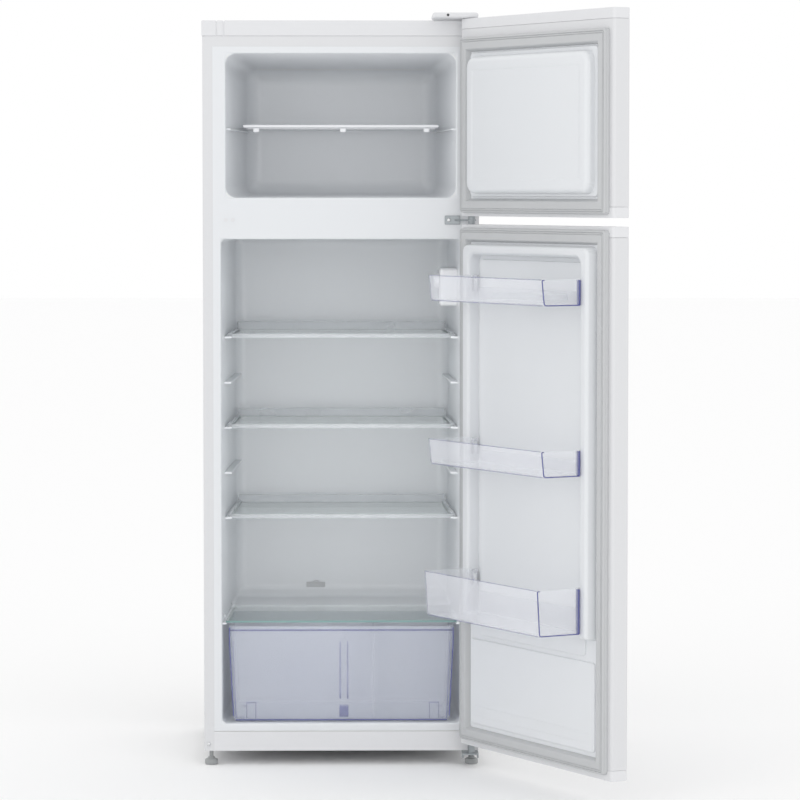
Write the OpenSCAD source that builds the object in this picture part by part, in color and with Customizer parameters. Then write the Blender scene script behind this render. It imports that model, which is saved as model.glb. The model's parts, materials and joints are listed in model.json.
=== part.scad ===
// Upright refrigerator with a freezer compartment on top and two doors hinged on the right.
// The cabinet's own directions: x = 0 on its centre plane, y = 0 on its front frame, z = 0 on the floor.
// The doors are modelled closed and turned about the hinge line to the angle they rest at.
// The part's origin is the centre of the left front foot's sole.

/* [Cabinet] */
// Width over the steel sides
cabinet_w = 540; // [500:1:660]
// Depth from the front frame to the steel back
cabinet_d = 490; // [470:1:600]
// Height of the top cover above the floor
cabinet_h = 1461; // [1200:1:1800]
// Height of the underside above the floor
base_z = 28; // [22:0.5:40]
// Thickness of the steel sheet
sheet_t = 0.8; // [0.5:0.1:1.2]
// Width of the steel return flange beside the liner
flange_w = 20; // [12:0.5:26]
// Height of the plastic top cover
top_cover_h = 31; // [20:0.5:50]
// How far the top cover stands out past each steel side
top_cover_lip = 1.5; // [0:0.1:4]
// Wall of the top cover
top_cover_t = 2.5; // [1.5:0.1:4]
// Distance from each side to the levelling foot
foot_in = 13.5; // [13:0.5:40]
// Distance from the front frame to the levelling foot
foot_back = 12; // [10:0.5:40]

/* [Compartments] */
// Thickness of the plastic liner
liner_t = 1.5; // [1:0.1:3]
// Frame beside the fridge opening
fridge_frame_w = 35.5; // [30:0.5:60]
// Frame beside the freezer opening
freezer_frame_w = 45; // [35:0.5:70]
// Frame above the freezer opening
top_frame_h = 64; // [55:0.5:90]
// Height of the freezer opening
freezer_open_h = 281; // [220:1:400]
// Depth of the freezer compartment
freezer_d = 400; // [330:1:430]
// How much each freezer wall closes in towards the back
freezer_draft = 32; // [5:1:36]
// Height of the rail between the two openings
rail_h = 81; // [70:0.5:110]
// Height of the sill below the fridge opening
sill_h = 54; // [45:0.5:80]
// Depth of the fridge compartment
fridge_d = 445; // [430:1:455]
// How much each fridge wall closes in towards the back
fridge_draft = 14; // [5:1:20]
// Distance from the front to the step over the compressor
step_y = 285; // [270:1:300]
// Height of the step over the compressor above the fridge floor
step_h = 201; // [190:1:230]
// Foam between the liner and the compressor bay
bay_foam = 28; // [20:1:40]

/* [Doors] */
// Thickness of the doors
door_t = 37; // [35:0.5:60]
// Space between the front frame and the doors
door_gap = 13; // [10:0.5:20]
// How far the fridge door starts above the underside
door_lift = 18.5; // [16:0.5:30]
// Space between the two doors
door_split = 16; // [16:0.5:24]
// How far the freezer door hangs below the freezer opening
freezer_door_drop = 35.5; // [30:0.5:45]
// How far the freezer door stands above the top cover
door_rise = 1.7; // [0:0.1:3]
// Distance from the side to the hinge line
hinge_in = 15; // [14:0.5:25]
// Distance from the front frame to the hinge line
hinge_out = 30; // [28:0.5:45]
// Angle at which the doors rest
open_angle = 119.2; // [90:0.1:134]
// Radius of the hinge pins
pin_r = 4; // [3:0.1:5]
// Radial clearance of the hinge pins and other turning fits
running = 0.05; // [0.02:0.01:0.09]
// Height of the plastic caps at the ends of the doors
cap_h = 20; // [20:0.5:40]
// Distance from the door's side to the gasket
gasket_in = 12.5; // [8:0.5:16]
// Width of the gasket
gasket_w = 30; // [20:0.5:34]
// Space between the closed gasket and the frame
gasket_gap = 0.3; // [0.2:0.1:1]
// Space from the opening to the raised rim of the fridge door
dyke_clear = 8.5; // [6:0.5:14]
// Width of the raised rim of the fridge door
dyke_w = 33; // [25:0.5:45]
// Height of the raised rim and of the freezer door's plug
dyke_h = 26; // [18:0.5:30]

/* [Fittings] */
// Distance from the front to the glass shelves
shelf_front = 105; // [103:0.5:130]
// Distance from the front to the back of the glass shelves
shelf_rear = 428; // [400:1:428]
// Space between a glass shelf and each wall
shelf_clear = 5.2; // [4:0.1:10]
// Thickness of the glass
glass_t = 4; // [3:0.5:6]
// Height of the front trim of the glass shelves
trim_h = 8.5; // [7:0.5:14]
// Height of the stop at the back of the glass shelves
stop_h = 14; // [8:0.5:25]
// Height from the crisper cover to the lowest glass shelf
low_space = 202; // [150:1:260]
// Height from the highest glass shelf to the fridge ceiling
high_space = 190; // [150:1:260]
// Depth of the two small door bins in front of the rim
small_bin_d = 86; // [60:1:86]
// Depth of the large door bin in front of the rim
large_bin_d = 94.5; // [60:0.5:100]
// Height of the two small door bins
small_bin_h = 49; // [40:1:80]
// Height of the large door bin
large_bin_h = 86; // [60:1:110]
// Wall of the bins and of the crisper drawer
bin_t = 2; // [1.5:0.1:3]
// Height of the crisper drawer
drawer_h = 187; // [150:1:187]
// Height of the wire shelf above the freezer floor
wire_shelf_h = 140; // [100:1:200]

/* [Hidden] */
$fn = 48;
eps = 0.01;
far = 3000;

// Colours
steel_white = [0.90, 0.905, 0.915];
plastic_white = [0.93, 0.935, 0.94];
liner_white = [0.86, 0.875, 0.895];
gasket_grey = [0.79, 0.79, 0.80];
clear_violet = [0.78, 0.81, 0.92, 0.5];
glass_green = [0.75, 0.86, 0.85, 0.5];
zinc = [0.60, 0.63, 0.65];
foam_cream = [0.93, 0.88, 0.70];
black_paint = [0.10, 0.10, 0.11];
copper = [0.72, 0.45, 0.32];

// Cabinet
half_w = cabinet_w / 2;
cover_z = cabinet_h - top_cover_h;
home = [half_w - foot_in, -foot_back, 0];

// Openings, as heights above the floor
freezer_z1 = cabinet_h - top_frame_h;
freezer_z0 = freezer_z1 - freezer_open_h;
freezer_half = half_w - freezer_frame_w;
fridge_z1 = freezer_z0 - rail_h;
fridge_z0 = base_z + sill_h;
fridge_half = half_w - fridge_frame_w;
step_z = fridge_z0 + step_h;
bay_z = step_z - bay_foam;
bay_y = step_y + bay_foam + 12;
freezer_floor_rise = 6;
freezer_roof_drop = 22;
freezer_corner_r = 21;
freezer_back_r = 30;
fridge_corner_r = 10;
fridge_back_r = 22;
ramp_y = 18;
ramp_h = 18;

// Doors, closed
door_y0 = -door_gap - door_t;
door_y1 = -door_gap;
hinge_x = half_w - hinge_in;
freezer_door_z0 = freezer_z0 - freezer_door_drop;
freezer_door_z1 = cabinet_h + door_rise;
fridge_door_z1 = freezer_door_z0 - door_split;
fridge_door_z0 = base_z + door_lift;
return_w = 12;
door_edge_r = 6;
door_sheet_t = 0.6;
freezer_gasket_top = 37;
freezer_gasket_bottom = 6;
fridge_gasket_top = 6;
fridge_gasket_bottom = 11;
gasket_r = 8;
plug_clear = 6.5;
plug_h = dyke_h - 3;
plug_r = 24;
dyke_half = fridge_half - dyke_clear;
dyke_inner = dyke_half - dyke_w;
dyke_top = fridge_z1 - 5;
dyke_top_w = 20;
low_panel_h = 6;
low_panel_in = 4;
low_panel_z = 10;
dyke_low = step_z + 17;
dyke_y = door_y1 + dyke_h;
pin_reach = 14;

// Shelves and bins
cover_top = step_z;
rib_pitch = (fridge_z1 - high_space - cover_top - low_space) / 4;
rib_tops = [for (i = [0:4]) cover_top + low_space - glass_t + i * rib_pitch];
bottom_shelf_z = rib_tops[0];
middle_shelf_z = rib_tops[2];
top_shelf_z = rib_tops[4];
rib_t = 4;
rib_w = 14;
shelf_lip = 3;
bin_half = dyke_half - 21.5;
bin_play = 0.6;
bin_lean = 5.5;
lug_w = 6;
lug_h = 22;
lug_y0 = door_y1 + 11;
lug_y1 = door_y1 + 19;
lug_play = 0.5;
top_bin_z = top_shelf_z + 78;
middle_bin_z = middle_shelf_z - 56;
bottom_bin_z = cover_top + 30;
bin_list = [[top_bin_z, small_bin_h], [middle_bin_z, small_bin_h], [bottom_bin_z, large_bin_h]];

function fridge_wall(y) = fridge_half - fridge_draft * y / fridge_d;
function freezer_wall(y) = freezer_half - freezer_draft * y / freezer_d;
function arc(cx, cy, r, a0, a1, n = 6) = [for (i = [0:n]) let (a = a0 + (a1 - a0) * i / n) [cx + r * cos(a), cy + r * sin(a)]];
function mirrored(points) = [for (i = [len(points) - 1:-1:0]) [-points[i][0], points[i][1]]];
function round_rect(x0, x1, y0, y1, r) = concat(
    arc(x1 - r, y1 - r, r, 0, 90), arc(x0 + r, y1 - r, r, 90, 180),
    arc(x0 + r, y0 + r, r, 180, 270), arc(x1 - r, y0 + r, r, 270, 360));

module slab(x0, x1, y0, y1, z0, z1) translate([x0, y0, z0]) cube([x1 - x0, y1 - y0, z1 - z0]);
module prism_x(points, x0, x1) translate([x0, 0, 0]) rotate([90, 0, 90]) linear_extrude(x1 - x0) polygon(points);
module prism_y(points, y0, y1) translate([0, y1, 0]) rotate([90, 0, 0]) linear_extrude(y1 - y0) polygon(points);
module prism_z(points, z0, z1) translate([0, 0, z0]) linear_extrude(z1 - z0) polygon(points);
module rod_x(x0, x1, y, z, r) translate([x0, y, z]) rotate([0, 90, 0]) cylinder(r = r, h = x1 - x0);
module rod_y(x, y0, y1, z, r) translate([x, y1, z]) rotate([90, 0, 0]) cylinder(r = r, h = y1 - y0);
module rod_z(x, y, z0, z1, r) translate([x, y, z0]) cylinder(r = r, h = z1 - z0);
module both_sides() {
    children();
    mirror([1, 0, 0]) children();
}
module in_place() translate(home) children();
module on_door() translate(home) translate([hinge_x, -hinge_out, 0]) rotate([0, 0, open_angle])
    translate([-hinge_x, hinge_out, 0]) children();

// Compartments: the space inside the liner, or inside the foam when it is grown by the liner's wall.
module freezer_space(grow, y0) {
    back = freezer_d + grow;
    side = freezer_wall(freezer_d - freezer_back_r) + grow;
    right = concat([[freezer_half + grow, y0], [freezer_half + grow, 0]],
        arc(side - freezer_back_r, back - freezer_back_r, freezer_back_r, 0, 90));
    low = freezer_z0 - grow;
    high = freezer_z1 + grow;
    profile = concat([[y0, low], [0, low]],
        arc(back - freezer_back_r, low + freezer_floor_rise + freezer_back_r, freezer_back_r, 270, 360),
        arc(back - freezer_back_r, high - freezer_roof_drop - freezer_back_r, freezer_back_r, 0, 90),
        [[0, high], [y0, high]]);
    intersection() {
        prism_z(concat(right, mirrored(right)), low - 1, high + 1);
        prism_x(profile, -half_w, half_w);
        prism_y(round_rect(-freezer_half - grow, freezer_half + grow, low, high, freezer_corner_r + grow), y0, back + 1);
    }
}
module fridge_space(grow, y0) {
    back = fridge_d + grow;
    side = fridge_wall(fridge_d - fridge_back_r) + grow;
    right = concat([[fridge_half + grow, y0], [fridge_half + grow, 0]],
        arc(side - fridge_back_r, back - fridge_back_r, fridge_back_r, 0, 90));
    low = fridge_z0 - grow;
    high = fridge_z1 + grow;
    profile = concat([[y0, low], [step_y + grow, low], [step_y + grow, step_z - grow],
            [back - ramp_y, step_z - grow], [back, step_z - grow + ramp_h]],
        arc(back - fridge_back_r, high - fridge_back_r, fridge_back_r, 0, 90), [[y0, high]]);
    intersection() {
        prism_z(concat(right, mirrored(right)), low - 1, high + 1);
        prism_x(profile, -half_w, half_w);
        prism_y(round_rect(-fridge_half - grow, fridge_half + grow, low, high, fridge_corner_r + grow), y0, back + 1);
    }
}
module ledge(top, y0, y1, width, height) both_sides()
    prism_z([[fridge_wall(y0) + liner_t / 2, y0], [fridge_wall(y1) + liner_t / 2, y1],
        [fridge_wall(y1) - width, y1], [fridge_wall(y0) - width, y0]], top - height, top);

// Cabinet
module outer_shell() color(steel_white) in_place() {
    difference() {
        slab(-half_w, half_w, 0, cabinet_d, base_z, cover_z);
        slab(-half_w + sheet_t, half_w - sheet_t, -1, cabinet_d + 1, base_z - 1, cover_z - sheet_t);
    }
    both_sides() slab(half_w - flange_w, half_w - sheet_t + eps, 0, sheet_t, base_z, cover_z - sheet_t + eps);
    both_sides() slab(half_w - flange_w, half_w - sheet_t + eps, cabinet_d - sheet_t, cabinet_d, base_z, cover_z - sheet_t + eps);
    slab(-half_w + flange_w - eps, half_w - flange_w + eps, 0, sheet_t, cover_z - flange_w, cover_z - sheet_t + eps);
}
module foam_insulation() color(foam_cream) in_place() difference() {
    slab(-half_w + sheet_t, half_w - sheet_t, liner_t, cabinet_d - sheet_t, base_z + sill_foam, cover_z - sheet_t);
    freezer_space(liner_t, -1);
    fridge_space(liner_t, -1);
    slab(-half_w, half_w, bay_y, cabinet_d + 1, 0, bay_z);
    freezer_evaporator_panel();
    fridge_evaporator_panel();
    drain_path(drain_r);
}
sill_foam = 3;
module inner_liner() color(liner_white) in_place() {
    difference() {
        union() {
            slab(-half_w + flange_w, half_w - flange_w, 0, liner_t, base_z + sill_face_h, cover_z - flange_w);
            freezer_space(liner_t, 0);
            fridge_space(liner_t, 0);
        }
        freezer_space(0, -1);
        fridge_space(0, -1);
        rod_y(drain_x, fridge_d - 1, fridge_d + 2 * liner_t, drain_z, drain_r);
        rod_y(rail_screw_x, -1, 2 * liner_t, split_z, screw_r);
    }
    for (top = rib_tops) ledge(top, shelf_front - 5, shelf_rear, rib_w, rib_t);
    ledge(cover_top - glass_t, cover_front, step_y + liner_t / 2, 9, 4);
    both_sides() prism_z([[freezer_wall(wire_front) + liner_t / 2, wire_front],
        [freezer_wall(wire_rear) + liner_t / 2, wire_rear], [freezer_wall(wire_rear) - wire_ledge, wire_rear],
        [freezer_wall(wire_rear) - wire_ledge, wire_front]], wire_z - 14, wire_z - 4);
}
sill_face_h = 38;
module back_panel() color(zinc) in_place() difference() {
    slab(-half_w + flange_w + 1, half_w - flange_w - 1, cabinet_d - sheet_t, cabinet_d, bay_z - 10, cover_z - flange_w);
    rod_y(line_x, cabinet_d - 2, cabinet_d + 1, line_hole_z, line_hole_r);
}
module sill_rail() color(steel_white) in_place() difference() {
    union() {
        slab(-half_w + flange_w, half_w - flange_w, 0, sheet_t, base_z, base_z + sill_face_h);
        slab(-half_w + sheet_t, half_w - sheet_t, sheet_t, bay_y - 1, base_z, base_z + sill_foam);
    }
    both_sides() rod_z(half_w - foot_in, foot_back, base_z - 1, base_z + 2 * sill_foam, stem_r + running);
    rod_z(bracket_screw[0], bracket_screw[1], base_z - 1, base_z + 2 * sill_foam, screw_r);
}
module compressor_tray() color(zinc) in_place() difference() {
    union() {
        slab(-half_w + sheet_t, half_w - sheet_t, bay_y, cabinet_d - 2, base_z, base_z + tray_t);
        both_sides() for (x = roller_ears) slab(x, x + ear_t, roller_y - 12, roller_y + 12, roller_r - 7, base_z + eps);
        for (x = mount_xs, y = mount_ys) rod_z(x, y, base_z + tray_t - eps, mount_top + 2, 3);
    }
    both_sides() rod_x(roller_ears[0] - 1, half_w, roller_y, roller_r, axle_r);
}
module top_cover() color(plastic_white) in_place() {
    outer = half_w + top_cover_lip;
    difference() {
        union() {
            prism_x([[0, cover_z], [0, cabinet_h - 3], [3, cabinet_h], [cabinet_d, cabinet_h], [cabinet_d, cover_z]],
                -outer, outer);
            slab(pad_x0, pad_x1, 3, pad_y1, cabinet_h - eps, cabinet_h + pad_h);
        }
        slab(-half_w + top_cover_t, half_w - top_cover_t, top_cover_t, cabinet_d - top_cover_t,
            cover_z - 1, cabinet_h - top_cover_t);
        for (x = [28, 42]) slab(-half_w + x - 0.6, -half_w + x + 0.6, -1, 1, cover_z - 1, cabinet_h + 1);
        for (p = top_screws) rod_z(p[0], p[1], cabinet_h - 10, cabinet_h + 10, screw_r);
    }
}

// Hinges
pad_h = 3;
pad_x0 = half_w - 90;
pad_x1 = half_w - 5;
pad_y1 = 62;
plate_t = 3;
screw_r = 2;
top_screws = [[half_w - 75, 20], [half_w - 75, 48], [half_w - 40, 48]];
rail_screw_x = half_w - 59;
bracket_screw = [half_w - 25, 34];
plug_xs = [-half_w + 59, -half_w + 45];
hinge_plate_z = cabinet_h + pad_h;
split_z = fridge_door_z1 + door_split / 2;
module top_hinge() color(zinc) in_place() {
    difference() {
        prism_z([[half_w - 84, 8], [half_w - 84, 58], [half_w - 28, 58], [half_w - 6, -hinge_out + 8],
            [half_w - 6, -hinge_out - 8], [half_w - 24, -hinge_out - 8], [half_w - 50, 8]],
            hinge_plate_z, hinge_plate_z + plate_t);
        for (p = top_screws) rod_z(p[0], p[1], hinge_plate_z - 1, hinge_plate_z + 5, screw_r);
    }
    rod_z(hinge_x, -hinge_out, freezer_door_z1 - pin_reach, hinge_plate_z + eps, pin_r);
}
module top_hinge_cover() color(plastic_white) in_place() {
    low = freezer_door_z1 + 0.8;
    high = hinge_plate_z + 10.5;
    outline = round_rect(half_w - 92, half_w - 3, -hinge_out - 14, 66, 6);
    inside = round_rect(half_w - 90.2, half_w - 4.8, -hinge_out - 12.2, 64.2, 4.2);
    difference() {
        prism_z(outline, low, high);
        prism_z(inside, low - 1, high - 1.8);
        slab(pad_x0 - 5, pad_x1 + 5, 2, pad_y1 + 10, low - 1, cabinet_h + pad_h);
    }
}
module middle_hinge() color(zinc) in_place() {
    difference() {
        slab(half_w - 67, half_w - 37, -plate_t, 0, split_z - 8.5, split_z + 8.5);
        rod_y(rail_screw_x, -plate_t - 1, 1, split_z, screw_r);
    }
    prism_z([[half_w - 50, -plate_t + eps], [half_w - 37, -plate_t + eps], [hinge_x + 8, -hinge_out + 4],
        [hinge_x + 8, -hinge_out - 8], [hinge_x - 8, -hinge_out - 8], [hinge_x - 12, -hinge_out + 6]],
        split_z - plate_t / 2, split_z + plate_t / 2);
    rod_z(hinge_x, -hinge_out, fridge_door_z1 + 0.5, freezer_door_z0 - 0.5, pin_r + 3);
    rod_z(hinge_x, -hinge_out, fridge_door_z1 - pin_reach, freezer_door_z0 + pin_reach, pin_r);
}
module bottom_hinge() color(zinc) in_place() {
    difference() {
        union() {
            slab(half_w - 33, half_w - 1, -hinge_out - 12, 42, base_z - plate_t, base_z);
            for (x = [half_w - 33, half_w - 1 - plate_t]) slab(x, x + plate_t, -hinge_out - 12, -hinge_out + 8,
                base_z - 9, base_z - plate_t + eps);
        }
        rod_z(half_w - foot_in, foot_back, base_z - 10, base_z + 1, stem_r + running);
        rod_z(bracket_screw[0], bracket_screw[1], base_z - 10, base_z + 1, screw_r);
    }
    rod_z(hinge_x, -hinge_out, base_z - eps, fridge_door_z0 - 0.5, pin_r + 3);
    rod_z(hinge_x, -hinge_out, base_z - eps, fridge_door_z0 + pin_reach, pin_r);
}
module screw(length, head_r = 4, head_h = 2.4) {
    cylinder(r = screw_r - running, h = length);
    translate([0, 0, length]) cylinder(r1 = head_r, r2 = head_r * 0.7, h = head_h);
}
module hinge_screws() color(zinc) in_place() {
    for (p = top_screws) translate([p[0], p[1], cabinet_h - top_cover_t + eps]) screw(pad_h + plate_t + top_cover_t);
    translate([rail_screw_x, liner_t - eps, split_z]) rotate([90, 0, 0]) screw(liner_t + plate_t);
    translate([bracket_screw[0], bracket_screw[1], base_z + sill_foam - eps]) rotate([180, 0, 0]) screw(sill_foam + plate_t);
}
module hinge_hole_plugs() color(plastic_white) in_place()
    for (x = plug_xs) rod_y(x, -1.2, -eps, split_z, 4);

// Feet and rollers
stem_r = 4;
foot_r = 12.8;
foot_h = 12;
module levelling_foot(x) color(zinc) in_place() translate([x, foot_back, 0]) {
    cylinder(r = foot_r, h = foot_h - 2);
    translate([0, 0, foot_h - 2 - eps]) cylinder(r1 = foot_r, r2 = foot_r - 2, h = 2 + eps);
    cylinder(r = stem_r, h = base_z + sill_foam - 0.5);
}
roller_r = 14;
roller_y = cabinet_d - 30;
roller_ears = [half_w - 44, half_w - 22];
ear_t = 2;
axle_r = 3;
module roller(side) color(black_paint) in_place() {
    x0 = roller_ears[0] + ear_t + 1;
    x1 = roller_ears[1] - 1;
    mirror([side < 0 ? 1 : 0, 0, 0]) difference() {
        rod_x(x0, x1, roller_y, roller_r, roller_r);
        rod_x(x0 - 1, x1 + 1, roller_y, roller_r, axle_r + running);
    }
}
module roller_axles() color(zinc) in_place()
    both_sides() rod_x(roller_ears[0] - 3, roller_ears[1] + ear_t + 3, roller_y, roller_r, axle_r);

// Cooling circuit
tray_t = 2;
mount_top = base_z + tray_t + 12;
compressor_x = 110;
compressor_y = bay_y + 92;
compressor_r = 66;
mount_xs = [compressor_x - 80, compressor_x + 80];
mount_ys = [compressor_y - 45, compressor_y + 45];
module compressor() color(black_paint) in_place() {
    translate([compressor_x, compressor_y, mount_top + 2]) {
        intersection() {
            translate([0, 0, 78]) sphere(r = 92);
            translate([0, 0, 6]) cylinder(r = compressor_r, h = 160);
        }
        translate([0, 0, 74]) cylinder(r = compressor_r + 3, h = 4);
        difference() {
            for (y = [-45, 45]) translate([-92, y - 12, 0]) cube([184, 24, 2.5]);
            for (x = [-80, 80], y = [-45, 45]) translate([x, y, -1]) cylinder(r = 4, h = 5);
        }
        for (x = [-40, 40]) translate([x - 8, -57, 2.4]) cube([16, 114, 8]);
    }
}
module compressor_mounts() color(black_paint) in_place() for (x = mount_xs, y = mount_ys) difference() {
    rod_z(x, y, base_z + tray_t, mount_top + 2, 11);
    rod_z(x, y, base_z, mount_top + 3, 3);
}
relay_x1 = compressor_x - compressor_r + 3;
module relay_box() color(black_paint) in_place() {
    difference() {
        slab(relay_x1 - 38, relay_x1, compressor_y - 34, compressor_y + 34, mount_top + 46, mount_top + 100);
        rod_z(compressor_x, compressor_y, mount_top, mount_top + 200, compressor_r + 3.2);
    }
    rod_x(relay_x1 - 50, relay_x1 - 38 + eps, compressor_y + 20, mount_top + 60, 6);
}
pan_z0 = mount_top + 178;
module evaporation_tray() color(black_paint) in_place() difference() {
    slab(drain_x - 30, compressor_x + 70, bay_y + 22, cabinet_d - 12, pan_z0, pan_z0 + 26);
    slab(drain_x - 28, compressor_x + 68, bay_y + 24, cabinet_d - 14, pan_z0 + 2, pan_z0 + 27);
}
drain_x = -54;
drain_r = 8;
drain_z = step_z + ramp_h + drain_r;
drain_y = fridge_d + 20;
drain_end = bay_z - 14;
drain_bend = 12;
drain_wall = 1.5;
module drain_path(r, bore = 0) {
    translate([drain_x, drain_y - drain_bend, drain_z]) rotate([90, 0, 0])
        linear_extrude(drain_y - drain_bend - fridge_d) ring(r, bore);
    translate([drain_x, drain_y - drain_bend, drain_z - drain_bend]) rotate([90, 0, 90])
        rotate_extrude(angle = 90) translate([drain_bend, 0]) ring(r, bore);
    translate([drain_x, drain_y, drain_end]) linear_extrude(drain_z - drain_bend - drain_end) ring(r, bore);
}
module ring(r, bore) difference() {
    circle(r = r);
    if (bore > 0) circle(r = bore);
}
module drain_tube() color(liner_white) in_place() drain_path(drain_r, drain_r - drain_wall);
evaporator_t = 3;
module freezer_evaporator_panel() slab(-freezer_half + 65, freezer_half - 65, freezer_d + liner_t,
    freezer_d + liner_t + evaporator_t, freezer_z0 + 45, freezer_z1 - 60);
module freezer_evaporator() color(zinc) in_place() freezer_evaporator_panel();
module fridge_evaporator_panel() slab(-fridge_half + 50, fridge_half - 50, fridge_d + liner_t,
    fridge_d + liner_t + evaporator_t, middle_shelf_z, fridge_z1 - 60);
module fridge_evaporator() color(zinc) in_place() fridge_evaporator_panel();
coil_y = cabinet_d + 22;
coil_r = 2.5;
coil_half = half_w - 50;
coil_pitch = 60;
coil_z0 = bay_z + 50;
coil_rows = floor((cover_z - 80 - coil_z0) / coil_pitch);
wire_r = 0.9;
module condenser() color(black_paint) in_place() {
    $fn = 18;
    for (i = [0:coil_rows]) rod_x(-coil_half, coil_half, coil_y, coil_z0 + i * coil_pitch, coil_r);
    for (i = [0:coil_rows - 1]) translate([(i % 2 ? -1 : 1) * coil_half, coil_y, coil_z0 + (i + 0.5) * coil_pitch])
        rotate([90, i % 2 ? -90 : 90, 0]) rotate_extrude(angle = 180) translate([coil_pitch / 2, 0]) circle(r = coil_r);
    for (x = [-0.8, -0.3, 0.3, 0.8])
        rod_z(x * coil_half, coil_y + coil_r + wire_r - 0.2, coil_z0 - 15, coil_z0 + coil_rows * coil_pitch + 15, wire_r);
    both_sides() for (z = [coil_z0 + coil_pitch * 1.5, coil_z0 + (coil_rows - 1.5) * coil_pitch]) {
        slab(0.55 * coil_half - 6, 0.55 * coil_half + 6, cabinet_d, coil_y + 6, z - 6, z + 6);
        slab(0.55 * coil_half - 6, 0.55 * coil_half + 6, coil_y - coil_r - 2, coil_y - coil_r + 0.2, z - 40, z + 40);
    }
}
line_x = -150;
line_r = 3;
line_hole_z = bay_z + 20;
line_hole_r = 6;
drier_x = -110;
drier_y = cabinet_d - 35;
module filter_drier() color(copper) in_place() {
    rod_z(drier_x, drier_y, base_z + 70, base_z + 160, 9);
    rod_z(drier_x, drier_y, base_z + 160 - eps, base_z + 178, 3.5);
    rod_z(drier_x, drier_y, base_z + 48, base_z + 70 + eps, 3.5);
}
module refrigerant_lines() color(copper) in_place() {
    // discharge line, from the compressor to the drier's foot level and up to the condenser
    rod_x(drier_x + 20, compressor_x - 60, drier_y + 12, mount_top + 30, line_r);
    rod_z(drier_x + 20, drier_y + 12, mount_top + 30 - line_r, bay_z - 12, line_r);
    // suction line, from the bay's ceiling to the compressor
    rod_z(compressor_x + 84, drier_y, mount_top + 50, bay_z - 1, line_r);
    rod_x(compressor_x + 60, compressor_x + 84, drier_y, mount_top + 52, line_r);
}

// Thermostat and lamp, on the right wall of the fridge
housing_y0 = shelf_front + 7;
housing_y1 = housing_y0 + 120;
housing_x = fridge_half - 38.5;
housing_z0 = top_shelf_z + 60;
housing_z1 = housing_z0 + 75;
knob_y = housing_y0 + 28;
knob_z = housing_z0 + 50;
lamp_z = housing_z0 + 24;
module housing_block(grow, z0, z1) prism_z([[housing_x + grow, housing_y0 + grow],
    [fridge_wall(housing_y0) - 0.1 - grow, housing_y0 + grow], [fridge_wall(housing_y1) - 0.1 - grow, housing_y1 - grow],
    [housing_x + grow, housing_y1 - grow]], z0, z1);
module thermostat_housing() color(plastic_white) in_place() difference() {
    housing_block(0, housing_z0, housing_z1);
    housing_block(2, housing_z0 + 2, housing_z1 - 2);
    slab(housing_x - 1, housing_x + 3, housing_y0 + 50, housing_y1 - 10, housing_z0 + 8, housing_z1 - 10);
    rod_x(housing_x - 1, housing_x + 3, knob_y, knob_z, 3 + running);
}
module thermostat() color(zinc) in_place()
    slab(housing_x + 8, housing_x + 26, knob_y - 14, knob_y + 14, knob_z - 14, knob_z + 14);
module thermostat_knob() color(plastic_white) in_place() {
    rod_x(housing_x - 10, housing_x - 0.5, knob_y, knob_z, 14);
    rod_x(housing_x - 0.6, housing_x + 7.5, knob_y, knob_z, 3);
    slab(housing_x - 12, housing_x - 10 + eps, knob_y - 1.5, knob_y + 1.5, knob_z, knob_z + 13);
}
module lamp_cover() color(glass_green) in_place() {
    slab(housing_x - 1.5, housing_x, housing_y0 + 46, housing_y1 - 6, housing_z0 + 4, housing_z1 - 6);
    difference() {
        slab(housing_x - eps, housing_x + 2, housing_y0 + 50.2, housing_y1 - 10.2, housing_z0 + 8.2, housing_z1 - 10.2);
        slab(housing_x - 0.5, housing_x + 3, housing_y0 + 52, housing_y1 - 12, housing_z0 + 10, housing_z1 - 12);
    }
}
module lamp() color([0.95, 0.93, 0.85]) in_place() {
    translate([housing_x + 17, housing_y0 + 70, lamp_z + 8]) sphere(r = 11);
    rod_y(housing_x + 17, housing_y0 + 78, housing_y1 - 2.2, lamp_z + 8, 7);
}

// Doors
function door_outline(inset) = let (r = door_edge_r - inset, x = half_w - inset, y = door_y0 + inset) concat(
    arc(x - r, y + r, r, 270, 360), [[x, door_y1 - inset], [-x, door_y1 - inset]], arc(-x + r, y + r, r, 180, 270));
module door_skin(z0, z1) difference() {
    prism_z(door_outline(0), z0 + cap_h, z1 - cap_h);
    prism_z(door_outline(door_sheet_t), z0, z1);
    slab(-half_w + return_w, half_w - return_w, door_y1 - 2, door_y1 + 1, z0, z1);
}
module door_core(z0, z1) difference() {
    prism_z(door_outline(door_sheet_t), z0 + cap_h, z1 - cap_h);
    slab(-half_w + return_w, half_w - return_w, door_y1 - liner_t, door_y1 + 1, z0, z1);
}
module door_cap(z0, z1) prism_z(door_outline(0), z0, z1);
module gasket_ring(z_out0, z_out1, z_in0, z_in1) {
    x = half_w - gasket_in;
    difference() {
        prism_y(round_rect(-x, x, z_out0, z_out1, gasket_r), door_y1, -gasket_gap);
        slab(-x + gasket_w, x - gasket_w, door_y1 - 1, 1, z_in0, z_in1);
    }
}
module liner_sheet(z0, z1) slab(-half_w + return_w, half_w - return_w, door_y1 - liner_t, door_y1, z0 + cap_h, z1 - cap_h);
grip_x0 = -half_w + 40;
grip_x1 = grip_x0 + 150;
grip_d = 12;
module grip_recess(z0, z1) slab(grip_x0, grip_x1, door_y0 + 9, door_y0 + 25, z0, z1);

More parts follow.
